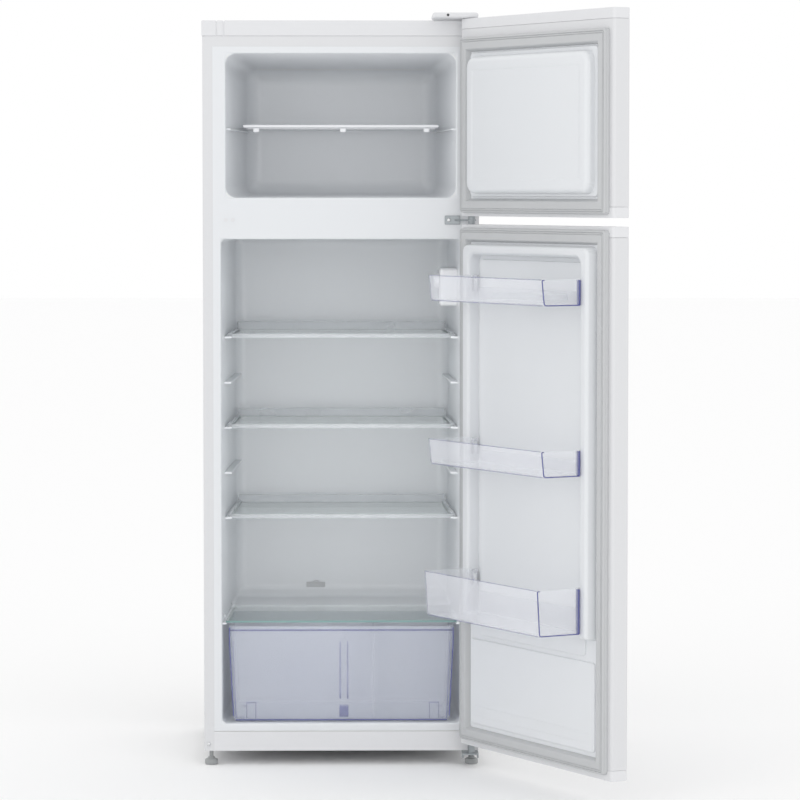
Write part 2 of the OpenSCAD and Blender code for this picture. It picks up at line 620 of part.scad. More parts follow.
// Freezer door
module freezer_plug(inset, y0) prism_y(round_rect(-freezer_half + plug_clear + inset, freezer_half - plug_clear - inset,
    freezer_z0 + plug_clear + inset, freezer_z1 - plug_clear - inset, plug_r - inset), y0, door_y1 + plug_h - inset);
module freezer_door_skin() color(steel_white) on_door() door_skin(freezer_door_z0, freezer_door_z1);
module freezer_door_foam() color(foam_cream) on_door() {
    door_core(freezer_door_z0, freezer_door_z1);
    freezer_plug(liner_t, door_y1 - liner_t - eps);
}
module freezer_door_liner() color(liner_white) on_door() difference() {
    union() {
        liner_sheet(freezer_door_z0, freezer_door_z1);
        freezer_plug(0, door_y1 - eps);
    }
    freezer_plug(liner_t, door_y1 - liner_t - 1);
}
module freezer_door_gasket() color(gasket_grey) on_door() gasket_ring(freezer_door_z0 + freezer_gasket_bottom,
    freezer_door_z1 - freezer_gasket_top, freezer_z0 + 1, freezer_z1 - 0.5);
module freezer_door_top_cap() color(plastic_white) on_door() difference() {
    door_cap(freezer_door_z1 - cap_h, freezer_door_z1);
    rod_z(hinge_x, -hinge_out, freezer_door_z1 - pin_reach - 2, freezer_door_z1 + 1, pin_r + running);
}
module freezer_door_bottom_cap() color(plastic_white) on_door() difference() {
    door_cap(freezer_door_z0, freezer_door_z0 + cap_h);
    rod_z(hinge_x, -hinge_out, freezer_door_z0 - 1, freezer_door_z0 + pin_reach + 2, pin_r + running);
    grip_recess(freezer_door_z0 - 1, freezer_door_z0 + grip_d);
}

// Fridge door
module dyke(inset, y0) {
    prism_y([[dyke_half - inset, dyke_low + inset], [dyke_half - inset, dyke_top - inset],
        [-dyke_half + inset, dyke_top - inset], [-dyke_half + inset, dyke_low + inset],
        [-dyke_inner - inset, dyke_low + inset], [-dyke_inner - inset, dyke_top - dyke_top_w + inset],
        [dyke_inner + inset, dyke_top - dyke_top_w + inset], [dyke_inner + inset, dyke_low + inset]],
        y0, dyke_y - inset);
    slab(-dyke_half + low_panel_in + inset, dyke_half - low_panel_in - inset, y0, door_y1 + low_panel_h - inset,
        fridge_z0 + low_panel_z + inset, dyke_low - 4 - inset);
}
module bin_lug(top) both_sides() slab(dyke_inner - lug_w, dyke_inner + eps, lug_y0, lug_y1, top - 8 - lug_h, top - 8);
module fridge_door_skin() color(steel_white) on_door() door_skin(fridge_door_z0, fridge_door_z1);
module fridge_door_foam() color(foam_cream) on_door() {
    door_core(fridge_door_z0, fridge_door_z1);
    dyke(liner_t, door_y1 - liner_t - eps);
}
module fridge_door_liner() color(liner_white) on_door() difference() {
    union() {
        liner_sheet(fridge_door_z0, fridge_door_z1);
        dyke(0, door_y1 - eps);
        for (b = bin_list) bin_lug(b[0] + b[1]);
    }
    dyke(liner_t, door_y1 - liner_t - 1);
}
module fridge_door_gasket() color(gasket_grey) on_door() gasket_ring(fridge_door_z0 + fridge_gasket_bottom,
    fridge_door_z1 - fridge_gasket_top, fridge_z0 + 0.5, fridge_z1 - 1);
module fridge_door_top_cap() color(plastic_white) on_door() difference() {
    door_cap(fridge_door_z1 - cap_h, fridge_door_z1);
    rod_z(hinge_x, -hinge_out, fridge_door_z1 - pin_reach - 2, fridge_door_z1 + 1, pin_r + running);
    grip_recess(fridge_door_z1 - grip_d, fridge_door_z1 + 1);
}
module fridge_door_bottom_cap() color(plastic_white) on_door() difference() {
    door_cap(fridge_door_z0, fridge_door_z0 + cap_h);
    rod_z(hinge_x, -hinge_out, fridge_door_z0 - 1, fridge_door_z0 + pin_reach + 2, pin_r + running);
}

// Door bins: a wide tray in front of the rim, and a narrow part behind it that drops over the lugs
module door_bin(z0, height, depth, back_h) color(clear_violet) on_door() {
    top = z0 + height;
    front = dyke_y + bin_play;
    foot = front + depth - bin_lean;
    rear = door_y1 + bin_play;
    neck = dyke_inner - lug_w - 1;
    difference() {
        union() {
            prism_x([[front, z0], [foot, z0], [front + depth, top], [front, top]], -bin_half, bin_half);
            slab(-neck, neck, rear, front + eps, z0, top);
        }
        prism_x([[front + bin_t, z0 + bin_t], [foot - bin_t, z0 + bin_t], [front + depth - bin_t, top + eps],
            [front + bin_t, top + eps]], -bin_half + bin_t, bin_half - bin_t);
        slab(-neck + bin_t, neck - bin_t, rear + bin_t, front + bin_t + eps, z0 + bin_t, top + 1);
        slab(-neck + bin_t, neck - bin_t, rear - 1, rear + bin_t + eps, z0 + back_h, top + 1);
    }
    both_sides() {
        slab(neck - eps, dyke_inner - 0.7, lug_y0 - lug_play - bin_t, lug_y0 - lug_play, top - 8 - lug_h, top);
        slab(neck - eps, dyke_inner - 0.7, lug_y1 + lug_play, lug_y1 + lug_play + bin_t, top - 8 - lug_h, top);
        slab(neck - eps, dyke_inner - 0.7, lug_y0 - lug_play - eps, lug_y1 + lug_play + eps, top - 8 + lug_play, top);
    }
}
module top_door_bin() door_bin(top_bin_z, small_bin_h, small_bin_d, 26);
module middle_door_bin() door_bin(middle_bin_z, small_bin_h, small_bin_d, 26);
module bottom_door_bin() door_bin(bottom_bin_z, large_bin_h, large_bin_d, 44);
egg_r = 17;
egg_pitch = 46;
egg_row = 37;
module egg_tray() color(clear_violet) on_door() {
    x0 = -bin_half + bin_t + 20;
    y0 = dyke_y + bin_play + bin_t + 0.8;
    z0 = top_bin_z + bin_t + 0.5;
    difference() {
        slab(x0, x0 + 4 * egg_pitch, y0, y0 + 2 * egg_row, z0, z0 + 20);
        slab(x0 + 1.5, x0 + 4 * egg_pitch - 1.5, y0 + 1.5, y0 + 2 * egg_row - 1.5, z0 - 1, z0 + 18);
        for (i = [0:3], j = [0:1])
            rod_z(x0 + (i + 0.5) * egg_pitch, y0 + (j + 0.5) * egg_row, z0 + 10, z0 + 21, egg_r);
    }
}

// Shelves
wire_z = freezer_z0 + wire_shelf_h;
wire_ledge = 8;
wire_front = 34;
wire_rear = 372;
wire_half = freezer_wall(wire_rear + 5) - 3;
wire_pitch = 20;
module wire_shelf() color(plastic_white) in_place() {
    slab(-wire_half, wire_half, wire_front, wire_front + 5, wire_z - 4, wire_z + 4);
    for (y = [wire_front + 110, wire_front + 220, wire_rear]) rod_x(-wire_half, wire_half, y, wire_z - 1.5, 2.4);
    n = floor((wire_half - 8) / wire_pitch);
    for (i = [-n:n]) rod_y(i * wire_pitch, wire_front + 4, wire_rear + 4, wire_z + 1.6, 1.5);
}
module wire_shelf_clips() color(plastic_white) in_place() for (x = [-166, 4, 168])
    slab(x - 5, x + 5, wire_front, wire_front + 8, wire_z - 11, wire_z - 4);

function shelf_plan(clear, y0, y1) = let (a = fridge_wall(y0) - clear, b = fridge_wall(y1) - clear)
    [[-a, y0], [a, y0], [b, y1], [-b, y1]];
module shelf_glass(z) color(glass_green) in_place()
    prism_z(shelf_plan(shelf_clear + 1, shelf_front + shelf_lip, shelf_rear - shelf_lip), z, z + glass_t);
module shelf_trim(z) color(plastic_white) in_place() difference() {
    union() {
        prism_z(shelf_plan(shelf_clear, shelf_front, shelf_front + 14), z - trim_h + glass_t + 1, z + glass_t + 1);
        prism_z(shelf_plan(shelf_clear, shelf_rear - 10, shelf_rear), z, z + glass_t + stop_h);
        difference() {
            prism_z(shelf_plan(shelf_clear, shelf_front, shelf_rear), z, z + glass_t + 1.5);
            prism_z(shelf_plan(shelf_clear + 9, shelf_front + 9, shelf_rear - 9), z - 1, z + glass_t + 2);
        }
    }
    prism_z(shelf_plan(shelf_clear + 1, shelf_front + shelf_lip, shelf_rear - shelf_lip), z, z + glass_t);
    ledge_cut(z);
}
module ledge_cut(top) ledge(top + eps, shelf_front - 6, shelf_rear + 1, rib_w + 0.5, rib_t + 20);
module top_shelf_glass() shelf_glass(top_shelf_z);
module top_shelf_trim() shelf_trim(top_shelf_z);
module middle_shelf_glass() shelf_glass(middle_shelf_z);
module middle_shelf_trim() shelf_trim(middle_shelf_z);
module bottom_shelf_glass() shelf_glass(bottom_shelf_z);
module bottom_shelf_trim() shelf_trim(bottom_shelf_z);

// Crisper
cover_front = 22;
drawer_front = 16;
drawer_rear = step_y - 10;
drawer_z0 = fridge_z0 + 3;
drawer_half = fridge_wall(drawer_rear) - 4;
drawer_draft = 8;
module crisper_cover() color(glass_green) in_place()
    prism_z(shelf_plan(shelf_clear + 1, cover_front, step_y - 2), cover_top - glass_t, cover_top);
module drawer_body(inset, lift) {
    z0 = drawer_z0 + inset;
    z1 = drawer_z0 + drawer_h + lift;
    intersection() {
        prism_y([[-drawer_half + drawer_draft + inset, z0], [drawer_half - drawer_draft - inset, z0],
            [drawer_half - inset, z1], [-drawer_half + inset, z1]], drawer_front, drawer_rear);
        prism_x([[drawer_front + 4 + inset, z0], [drawer_rear - drawer_draft - inset, z0], [drawer_rear - inset, z1],
            [drawer_front + inset, z1]], -half_w, half_w);
    }
}
module crisper_drawer() color(clear_violet) in_place() {
    difference() {
        drawer_body(0, 0);
        drawer_body(bin_t, 1);
    }
    both_sides() for (y = [drawer_front + 40, drawer_rear - 60])
        slab(drawer_half - 34, drawer_half - 22, y, y + 20, fridge_z0 + 0.3, drawer_z0 + eps);
}
divider_x = 64;
module crisper_divider() color(clear_violet) in_place() difference() {
    prism_x([[drawer_front + 4 + bin_t + 1, drawer_z0 + bin_t + 5], [drawer_rear - drawer_draft - bin_t - 5, drawer_z0 + bin_t + 5],
        [drawer_rear - bin_t - 5, drawer_z0 + drawer_h - 14], [drawer_front + bin_t + 1, drawer_z0 + drawer_h - 14]],
        divider_x - 1.2, divider_x + 1.2);
    slab(divider_x - 3, divider_x + 3, drawer_front + 60, drawer_rear - 60, drawer_z0 + drawer_h - 60, drawer_z0 + drawer_h - 40);
}

module left_front_foot() levelling_foot(-half_w + foot_in);
module right_front_foot() levelling_foot(half_w - foot_in);
module left_rear_roller() roller(-1);
module right_rear_roller() roller(1);

outer_shell();
foam_insulation();
inner_liner();
back_panel();
sill_rail();
compressor_tray();
top_cover();
top_hinge();
top_hinge_cover();
middle_hinge();
bottom_hinge();
hinge_screws();
hinge_hole_plugs();
thermostat_housing();
thermostat();
lamp_cover();
lamp();
thermostat_knob();
freezer_evaporator();
fridge_evaporator();
drain_tube();
compressor();
compressor_mounts();
relay_box();
evaporation_tray();
condenser();
filter_drier();
refrigerant_lines();
roller_axles();
left_rear_roller();
right_rear_roller();
left_front_foot();
right_front_foot();
freezer_door_skin();
freezer_door_foam();
freezer_door_liner();
freezer_door_gasket();
freezer_door_top_cap();
freezer_door_bottom_cap();
fridge_door_skin();
fridge_door_foam();
fridge_door_liner();
fridge_door_gasket();
fridge_door_top_cap();
fridge_door_bottom_cap();
top_door_bin();
middle_door_bin();
bottom_door_bin();
egg_tray();
wire_shelf();
wire_shelf_clips();
top_shelf_glass();
top_shelf_trim();
middle_shelf_glass();
middle_shelf_trim();
bottom_shelf_glass();
bottom_shelf_trim();
crisper_cover();
crisper_drawer();
crisper_divider();
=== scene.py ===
"""Refrigerator with a freezer compartment on top: its visible pieces, their finishes and the studio."""
import json
import math

import bmesh
import bpy
from bpy.props import FloatProperty, FloatVectorProperty, IntProperty, PointerProperty
from bpy.types import Operator, Panel, PropertyGroup
from mathutils import Matrix, Vector


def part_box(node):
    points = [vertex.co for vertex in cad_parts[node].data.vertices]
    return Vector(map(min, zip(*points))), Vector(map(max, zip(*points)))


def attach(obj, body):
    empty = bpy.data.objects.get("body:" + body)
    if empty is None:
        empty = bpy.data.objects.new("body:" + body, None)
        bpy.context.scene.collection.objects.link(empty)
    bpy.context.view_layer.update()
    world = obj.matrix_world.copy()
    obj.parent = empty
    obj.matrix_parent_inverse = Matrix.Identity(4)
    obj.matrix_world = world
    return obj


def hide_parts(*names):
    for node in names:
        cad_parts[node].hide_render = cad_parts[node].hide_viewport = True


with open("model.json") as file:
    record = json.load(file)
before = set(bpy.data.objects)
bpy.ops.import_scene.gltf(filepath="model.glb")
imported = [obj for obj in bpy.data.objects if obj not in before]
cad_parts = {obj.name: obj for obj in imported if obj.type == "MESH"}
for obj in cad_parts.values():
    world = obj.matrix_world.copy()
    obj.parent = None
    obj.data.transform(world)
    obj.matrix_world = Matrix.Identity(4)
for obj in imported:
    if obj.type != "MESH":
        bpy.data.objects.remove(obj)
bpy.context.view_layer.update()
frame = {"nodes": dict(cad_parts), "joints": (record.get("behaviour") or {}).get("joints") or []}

bl_info = {
    "name": "Top Freezer Refrigerator",
    "version": (1, 0, 0),
    "blender": (4, 5, 0),
    "location": "3D View > Sidebar > Refrigerator",
    "description": "Builds the visible pieces of a refrigerator with a freezer compartment on top",
    "category": "Add Mesh",
}

# The cabinet's own directions, in millimetres: x = 0 on its centre plane, y = 0 on its front frame, z = 0 on the floor.
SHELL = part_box("outer_shell")
HALF_W = round((SHELL[1].x - SHELL[0].x) * 500, 3)
CABINET = Matrix.Translation(((SHELL[0].x + SHELL[1].x) / 2, SHELL[0].y, 0)) @ Matrix.Scale(0.001, 4)
JOINTS = {joint["name"]: joint for joint in frame["joints"]}
DOOR_HINGE = JOINTS["fridge_door_hinge"]
DOOR_ANGLE = -math.radians(DOOR_HINGE["range_deg"][0])
HINGE = CABINET.inverted() @ Vector(DOOR_HINGE["pos_m"])
DOOR = CABINET @ Matrix.Translation(HINGE) @ Matrix.Rotation(DOOR_ANGLE, 4, "Z") @ Matrix.Translation(-HINGE)

# Heights and depths of the fixed sizes that more than one piece uses
FRIDGE_LOW, FRIDGE_HIGH, FRIDGE_HALF, FRIDGE_DEPTH, FRIDGE_DRAFT = 82.0, 1035.0, 234.5, 445.0, 14.0
FREEZER_LOW, FREEZER_HIGH, FREEZER_HALF, FREEZER_DEPTH, FREEZER_DRAFT = 1116.0, 1397.0, 225.0, 400.0, 32.0
STEP_Y, STEP_Z = 285.0, 283.0
DOOR_BACK, DOOR_FACE = -50.0, -13.0
FREEZER_DOOR = (1080.5, 1462.7)
FRIDGE_DOOR = (46.5, 1064.5)
SHELF_HEIGHTS = {"bottom": 481.0, "middle": 661.0, "top": 841.0}
RIB_HEIGHTS = (481.0, 571.0, 661.0, 751.0, 841.0)
BINS = {"top": (919.0, 49.0, 86.0, 26.0), "middle": (605.0, 49.0, 86.0, 26.0),
        "bottom": (313.0, 86.0, 94.5, 44.0)}
DYKE_HALF, DYKE_WIDE, DYKE_FACE, DYKE_LOW, DYKE_HIGH = 226.0, 33.0, 13.0, 300.0, 1030.0
BIN_HALF = 204.5


def cad_corners(node):
    """The lowest and highest corners of a frame node, in the cabinet's millimetres."""
    return [CABINET.inverted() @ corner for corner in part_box(node)]


# ---------------------------------------------------------------- shapes

def joined(parts):
    """One mesh holding every part; each part keeps its own closed surface."""
    whole = bmesh.new()
    for part in parts:
        scratch = bpy.data.meshes.new("scratch")
        part.to_mesh(scratch)
        part.free()
        whole.from_mesh(scratch)
        bpy.data.meshes.remove(scratch)
    return whole


def shape_of(points):
    """A single face through the points, which run counter-clockwise seen from its front."""
    shape = bmesh.new()
    shape.faces.new([shape.verts.new(point) for point in points])
    return shape


def round_edges(shape, radius, segments=3, edges=None):
    bmesh.ops.bevel(shape, geom=list(shape.edges if edges is None else edges), offset=radius,
                    offset_type="OFFSET",
                    segments=segments, profile=0.5, affect="EDGES", clamp_overlap=True, material=-1)
    return shape


def block(x0, x1, y0, y1, z0, z1, radius=0.0, segments=3, along=None):
    """A box between two corners with rounded edges, or only those that run along one axis."""
    shape = bmesh.new()
    bmesh.ops.create_cube(shape, size=1)
    middle = Vector(((x0 + x1) / 2, (y0 + y1) / 2, (z0 + z1) / 2))
    bmesh.ops.transform(shape, verts=shape.verts,
                        matrix=Matrix.Translation(middle) @ Matrix.Diagonal((x1 - x0, y1 - y0, z1 - z0, 1)))
    if radius:
        edges = shape.edges[:]
        if along is not None:
            edges = [edge for edge in edges if abs((edge.verts[0].co - edge.verts[1].co).normalized()[along]) > 0.9]
        round_edges(shape, radius, segments, edges)
    return shape


def outline(corners, inset, arc):
    """The points of a rounded polygon moved inwards; its corners are (x, z, radius), counter-clockwise."""
    points = []
    for i, (x, z, radius) in enumerate(corners):
        here = Vector((x, z))
        along = (here - Vector(corners[i - 1][:2])).normalized()
        onward = (Vector(corners[(i + 1) % len(corners)][:2]) - here).normalized()
        normals = Vector((-along.y, along.x)), Vector((-onward.y, onward.x))
        turn = math.atan2(along.cross(onward), along.dot(onward))
        side = math.copysign(1, turn)
        radius = max(radius - side * inset, 0.4)
        centre = here + (normals[0] + normals[1]) * (inset + side * radius) / (1 + normals[0].dot(normals[1]))
        start = math.atan2(normals[0].y, normals[0].x)
        for k in range(arc + 1):
            angle = start + turn * k / arc
            points.append(centre - side * radius * Vector((math.cos(angle), math.sin(angle))))
    return points


def formed(corners, y, steps, hollow=False, arc=7):
    """A formed panel: a rounded outline carried inwards and up step by step, then closed at its top and back."""
    shape = bmesh.new()
    ring = [shape.verts.new((point.x, y, point.y)) for point in outline(corners, 0, arc)]
    loop = [shape.edges.new(pair) for pair in zip(ring, ring[1:] + ring[:1])]
    if not hollow:
        bmesh.ops.contextual_create(shape, geom=loop)
    inset = rise = 0.0
    path = []
    for inwards, up in steps:
        inset, rise = inset + inwards, rise + up
        path.append((inset, rise))
    if hollow:
        path.append((0.0, 0.0))
    for inset, rise in path:
        made = {item for item in bmesh.ops.extrude_edge_only(shape,
                                                             edges=loop)["geom"] if isinstance(item, bmesh.types.BMVert)}
        ring = [next(edge.other_vert(vert) for edge in vert.link_edges if edge.other_vert(vert) in made) for vert in ring]
        for vert, point in zip(ring, outline(corners, inset, arc)):
            vert.co = (point.x, y + rise, point.y)
        loop = [shape.edges.get(pair) for pair in zip(ring, ring[1:] + ring[:1])]
    if hollow:
        bmesh.ops.remove_doubles(shape, verts=shape.verts, dist=0.0005)
    else:
        bmesh.ops.contextual_create(shape, geom=loop)
    bmesh.ops.recalc_face_normals(shape, faces=shape.faces)
    return shape


def prism(points, move, radius=0.0, segments=3):
    """A flat outline pushed along a vector, with rounded edges."""
    shape = shape_of(points)
    bottom = shape.faces[:]
    made = bmesh.ops.extrude_face_region(shape, geom=bottom, use_keep_orig=True)
    bmesh.ops.translate(shape, verts=[item for item in made["geom"] if isinstance(item, bmesh.types.BMVert)],
                        vec=move)
    bmesh.ops.recalc_face_normals(shape, faces=shape.faces)
    if radius:
        rims = [edge for edge in shape.edges if len(edge.link_faces) == 2 and edge.calc_face_angle(0) > 0.6]
        round_edges(shape, radius, segments, rims)
    return shape


def turned(profile, place, steps=48):
    """A profile of (radius, height) points turned about Z, then placed by a matrix."""
    shape = bmesh.new()
    verts = [shape.verts.new((radius, 0, height)) for radius, height in profile]
    edges = [shape.edges.new(pair) for pair in zip(verts, verts[1:])]
    bmesh.ops.spin(shape, geom=verts + edges, cent=(0, 0, 0), axis=(0, 0, 1), dvec=(0, 0, 0), angle=math.tau,
                   steps=steps, use_merge=True)
    bmesh.ops.remove_doubles(shape, verts=shape.verts, dist=0.0005)
    bmesh.ops.recalc_face_normals(shape, faces=shape.faces)
    bmesh.ops.transform(shape, verts=shape.verts, matrix=place)
    return shape


def rod(start, end, radius, steps=16, ease=0.3):
    """A round bar between two points with eased ends."""
    start, end = Vector(start), Vector(end)
    length = (end - start).length
    ease = min(ease, radius * 0.5)
    turn = (end - start).to_track_quat("Z", "Y").to_matrix().to_4x4()
    profile = [(0, 0), (radius - ease, 0), (radius, ease), (radius, length - ease), (radius - ease, length),
               (0, length)]
    return turned(profile, Matrix.Translation(start) @ turn, steps)


def pipe(points, radius, bend=12.0, sides=12, steps=6):
    """A bent tube: a circle carried along a line whose corners are rounded."""
    points = [Vector(point) for point in points]
    path = [points[0]]
    for before, here, after in zip(points, points[1:], points[2:]):
        a, b = (before - here), (after - here)
        reach = min(bend, a.length * 0.49, b.length * 0.49)
        a, b = here + a.normalized() * reach, here + b.normalized() * reach
        path += [a.lerp(here, t).lerp(here.lerp(b, t), t) for t in (i / steps for i in range(steps + 1))]
    path.append(points[-1])
    curve = bpy.data.curves.new("scratch", "CURVE")
    curve.dimensions, curve.bevel_depth, curve.bevel_resolution, curve.use_fill_caps = "3D", radius, max(sides // 4 - 1, 1), True
    spline = curve.splines.new("POLY")
    spline.points.add(len(path) - 1)
    for knot, point in zip(spline.points, path):
        knot.co = (*point, 1)
    carrier = bpy.data.objects.new("scratch", curve)
    mesh = bpy.data.meshes.new_from_object(carrier)
    shape = bmesh.new()
    shape.from_mesh(mesh)
    bmesh.ops.remove_doubles(shape, verts=shape.verts, dist=0.0005)
    bmesh.ops.recalc_face_normals(shape, faces=shape.faces)
    bpy.data.objects.remove(carrier)
    bpy.data.curves.remove(curve)
    bpy.data.meshes.remove(mesh)
    return shape


def set_down(name, shape, finish, body, place=CABINET, stands_for=(), sharp=38, modifiers=()):
    """Puts a shape in the scene as a finished piece that moves with a body."""
    bmesh.ops.transform(shape, matrix=place, verts=shape.verts)
    mesh = bpy.data.meshes.new(name)
    shape.to_mesh(mesh)
    shape.free()
    mesh.shade_smooth()
    mesh.set_sharp_from_angle(angle=math.radians(sharp))
    piece = bpy.data.objects.new(name, mesh)
    bpy.context.collection.objects.link(piece)
    mesh.materials.append(FINISHES[finish])
    for kind, label, values in modifiers:
        modifier = piece.modifiers.new(label, kind)
        for key, value in values.items():
            setattr(modifier, key, value)
    evened = piece.modifiers.new("Even shading", "WEIGHTED_NORMAL")
    evened.keep_sharp = True
    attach(piece, body)
    if stands_for:
        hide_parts(*stands_for)
    return piece


# ---------------------------------------------------------------- finishes

def new_finish(name):
    material = bpy.data.materials.new(name)
    material.use_nodes = True
    return material, material.node_tree.nodes, material.node_tree.links, material.node_tree.nodes["Principled BSDF"]


def noise(nodes, links, place, scale, detail=2.0):
    texture = nodes.new("ShaderNodeTexNoise")
    texture.inputs["Scale"].default_value = scale
    texture.inputs["Detail"].default_value = detail
    links.new(place.outputs["Object"], texture.inputs["Vector"])
    return texture.outputs["Fac"]


def drifting(nodes, links, shader, colour, darker, lighter, patches):
    """A base colour that drifts slowly between a darker and a lighter shade."""
    drift = nodes.new("ShaderNodeMix")
    drift.data_type = "RGBA"
    drift.inputs["A"].default_value = (*[channel * darker for channel in colour], 1)
    drift.inputs["B"].default_value = (*[min(channel * lighter, 1) for channel in colour], 1)
    links.new(patches, drift.inputs["Factor"])
    links.new(drift.outputs["Result"], shader.inputs["Base Color"])


def relief(nodes, links, height, strength, distance):
    """A bump node that reads a height."""
    bump = nodes.new("ShaderNodeBump")
    bump.inputs["Strength"].default_value, bump.inputs["Distance"].default_value = strength, distance
    links.new(height, bump.inputs["Height"])
    return bump


def moulded(name, colour, shift=0.03, patch=6.0, grain=900.0, grain_strength=0.05, wave=14.0,
            wave_strength=0.02,
            gloss=(0.3, 0.4), metal=0.0, coat=0.0):
    """A surface with slow colour drift, patchy gloss, a fine grain and a slow waviness."""
    material, nodes, links, shader = new_finish(name)
    place = nodes.new("ShaderNodeTexCoord")
    drifting(nodes, links, shader, colour, 1 - shift, 1 + shift, noise(nodes, links, place, patch, 3))
    span = nodes.new("ShaderNodeMapRange")
    span.inputs["From Min"].default_value, span.inputs["From Max"].default_value = 0.1, 0.9
    span.inputs["To Min"].default_value, span.inputs["To Max"].default_value = gloss
    links.new(noise(nodes, links, place, patch * 5, 4), span.inputs["Value"])
    links.new(span.outputs["Result"], shader.inputs["Roughness"])
    slow = relief(nodes, links, noise(nodes, links, place, wave, 1), wave_strength, 0.001)
    fine = relief(nodes, links, noise(nodes, links, place, grain, 2), grain_strength, 0.0003)
    links.new(slow.outputs["Normal"], fine.inputs["Normal"])
    links.new(fine.outputs["Normal"], shader.inputs["Normal"])
    shader.inputs["Metallic"].default_value = metal
    shader.inputs["Coat Weight"].default_value = coat
    shader.inputs["Coat Roughness"].default_value = 0.12
    material.diffuse_color = (*colour, 1)
    return material


def see_through(name, colour, face_on, edge_on, gloss=(0.03, 0.09), ripple=30.0, ripple_strength=0.02,
                ior=1.45):
    """A clear moulding or pane: nearly invisible face on, and coloured where it is looked through at a slant."""
    material, nodes, links, shader = new_finish(name)
    place = nodes.new("ShaderNodeTexCoord")
    drifting(nodes, links, shader, colour, 0.94, 1.05, noise(nodes, links, place, 9, 2))
    span = nodes.new("ShaderNodeMapRange")
    span.inputs["To Min"].default_value, span.inputs["To Max"].default_value = gloss
    links.new(noise(nodes, links, place, 22, 3), span.inputs["Value"])
    links.new(span.outputs["Result"], shader.inputs["Roughness"])
    slow = relief(nodes, links, noise(nodes, links, place, ripple, 1), ripple_strength, 0.002)
    links.new(slow.outputs["Normal"], shader.inputs["Normal"])
    slant = nodes.new("ShaderNodeLayerWeight")
    slant.inputs["Blend"].default_value = 0.35
    cover = nodes.new("ShaderNodeMapRange")
    cover.inputs["To Min"].default_value, cover.inputs["To Max"].default_value = face_on, edge_on
    links.new(slant.outputs["Facing"], cover.inputs["Value"])
    links.new(cover.outputs["Result"], shader.inputs["Alpha"])
    shader.inputs["IOR"].default_value = ior
    material.diffuse_color = (*colour, 0.4)
    return material


def make_finishes():
    """Every finish of the object, by a plain name."""
    colours = bpy.context.scene.fridge_colours
    enamel, plastic, liner = tuple(colours.enamel), tuple(colours.plastic), tuple(colours.liner)
    return {
        "enamel": moulded("white_enamel", enamel, shift=0.004, grain=1400, grain_strength=0.04,
                          gloss=(0.30, 0.36), coat=0.2),
        "plastic": moulded("white_plastic", plastic, shift=0.004, grain=2200, grain_strength=0.06,
                           gloss=(0.40, 0.46)),
        "coated_wire": moulded("coated_wire", (0.57, 0.58, 0.60), shift=0.03, patch=30, grain=1900,
                               grain_strength=0.08,
                               gloss=(0.34, 0.42)),
        "liner": moulded("formed_liner", liner, shift=0.005, grain=1500, grain_strength=0.02, wave=5,
                         wave_strength=0.03,
                         gloss=(0.27, 0.33), coat=0.1),
        "gasket": moulded("soft_vinyl", tuple(colours.gasket), shift=0.02, patch=18, grain=2600,
                          grain_strength=0.12,
                          gloss=(0.5, 0.62)),
        "violet": see_through("clear_violet_plastic", tuple(colours.violet), colours.violet_cover, 0.5),
        "violet_drawer": see_through("clear_drawer_plastic", (0.82, 0.86, 1.0),
                                     min(colours.violet_cover * 1.4, 1), 0.5),
        "violet_rim": see_through("violet_plastic_rim", tuple(colours.violet_edge), 0.34, 0.7),
        "violet_edge": see_through("violet_plastic_edge", tuple(colours.violet_edge), 0.72, 0.9),
        "glass": see_through("toughened_glass", tuple(colours.glass), 0.04, 0.3, gloss=(0.01, 0.04), ior=1.52),
        "glass_edge": see_through("glass_edge", tuple(colours.glass_edge), 0.75, 0.9, gloss=(0.1, 0.2),
                                  ior=1.52),
        "clear": see_through("clear_plastic", (0.80, 0.83, 0.86), 0.30, 0.85, gloss=(0.06, 0.14)),
        "frosted": see_through("frosted_lamp_glass", (0.85, 0.84, 0.80), 0.7, 0.95, gloss=(0.3, 0.45)),
        "zinc": moulded("zinc_plated_steel", (0.33, 0.355, 0.37), shift=0.12, patch=70, grain=1300,
                        grain_strength=0.15,
                        gloss=(0.28, 0.46), metal=1.0),
        "screw": moulded("bright_screw", (0.72, 0.73, 0.74), shift=0.05, patch=90, grain=1800,
                         gloss=(0.16, 0.28), metal=1.0),
        "black_paint": moulded("black_paint", (0.022, 0.022, 0.024), shift=0.15, patch=24, grain=700,
                               grain_strength=0.2,
                               gloss=(0.32, 0.48)),
        "black_plastic": moulded("black_plastic", (0.03, 0.03, 0.032), shift=0.1, patch=30, grain=1500,
                                 grain_strength=0.25,
                                 gloss=(0.5, 0.62)),
        "rubber": moulded("black_rubber", (0.02, 0.02, 0.02), shift=0.1, patch=40, grain=1800,
                          grain_strength=0.2,
                          gloss=(0.62, 0.75)),
        "grey": moulded("grey_foot_plastic", tuple(colours.feet), shift=0.05, patch=60, grain=1700,
                        grain_strength=0.15,
                        gloss=(0.38, 0.5)),
        "aluminium": moulded("rolled_aluminium", (0.78, 0.79, 0.80), shift=0.04, patch=40, grain=1300,
                             gloss=(0.25, 0.4), metal=1.0),
        "copper": moulded("drawn_copper", (0.72, 0.38, 0.24), shift=0.14, patch=55, grain=900,
                          gloss=(0.24, 0.42), metal=1.0),
        "foam": moulded("rigid_foam", (0.80, 0.80, 0.78), shift=0.04, patch=40, grain=520, grain_strength=0.7,
                        gloss=(0.8, 0.9)),
        # Near-black painted shade: stands in for the unlit inside of a hole
        "painted_shade": moulded("painted_hole_shade", (0.05, 0.05, 0.055), shift=0.1, patch=60, gloss=(0.6, 0.7)),
    }


FINISHES = {}


def repaint(finish, *nodes):
    """Gives carried-over frame nodes a finish."""
    for node in nodes:
        slots = frame["nodes"][node].material_slots
        for slot in slots:
            slot.material = FINISHES[finish]


# ---------------------------------------------------------------- properties

def millimetres(name, description, default, least, most):
    return FloatProperty(name=name, description=description, default=default, min=least, max=most)


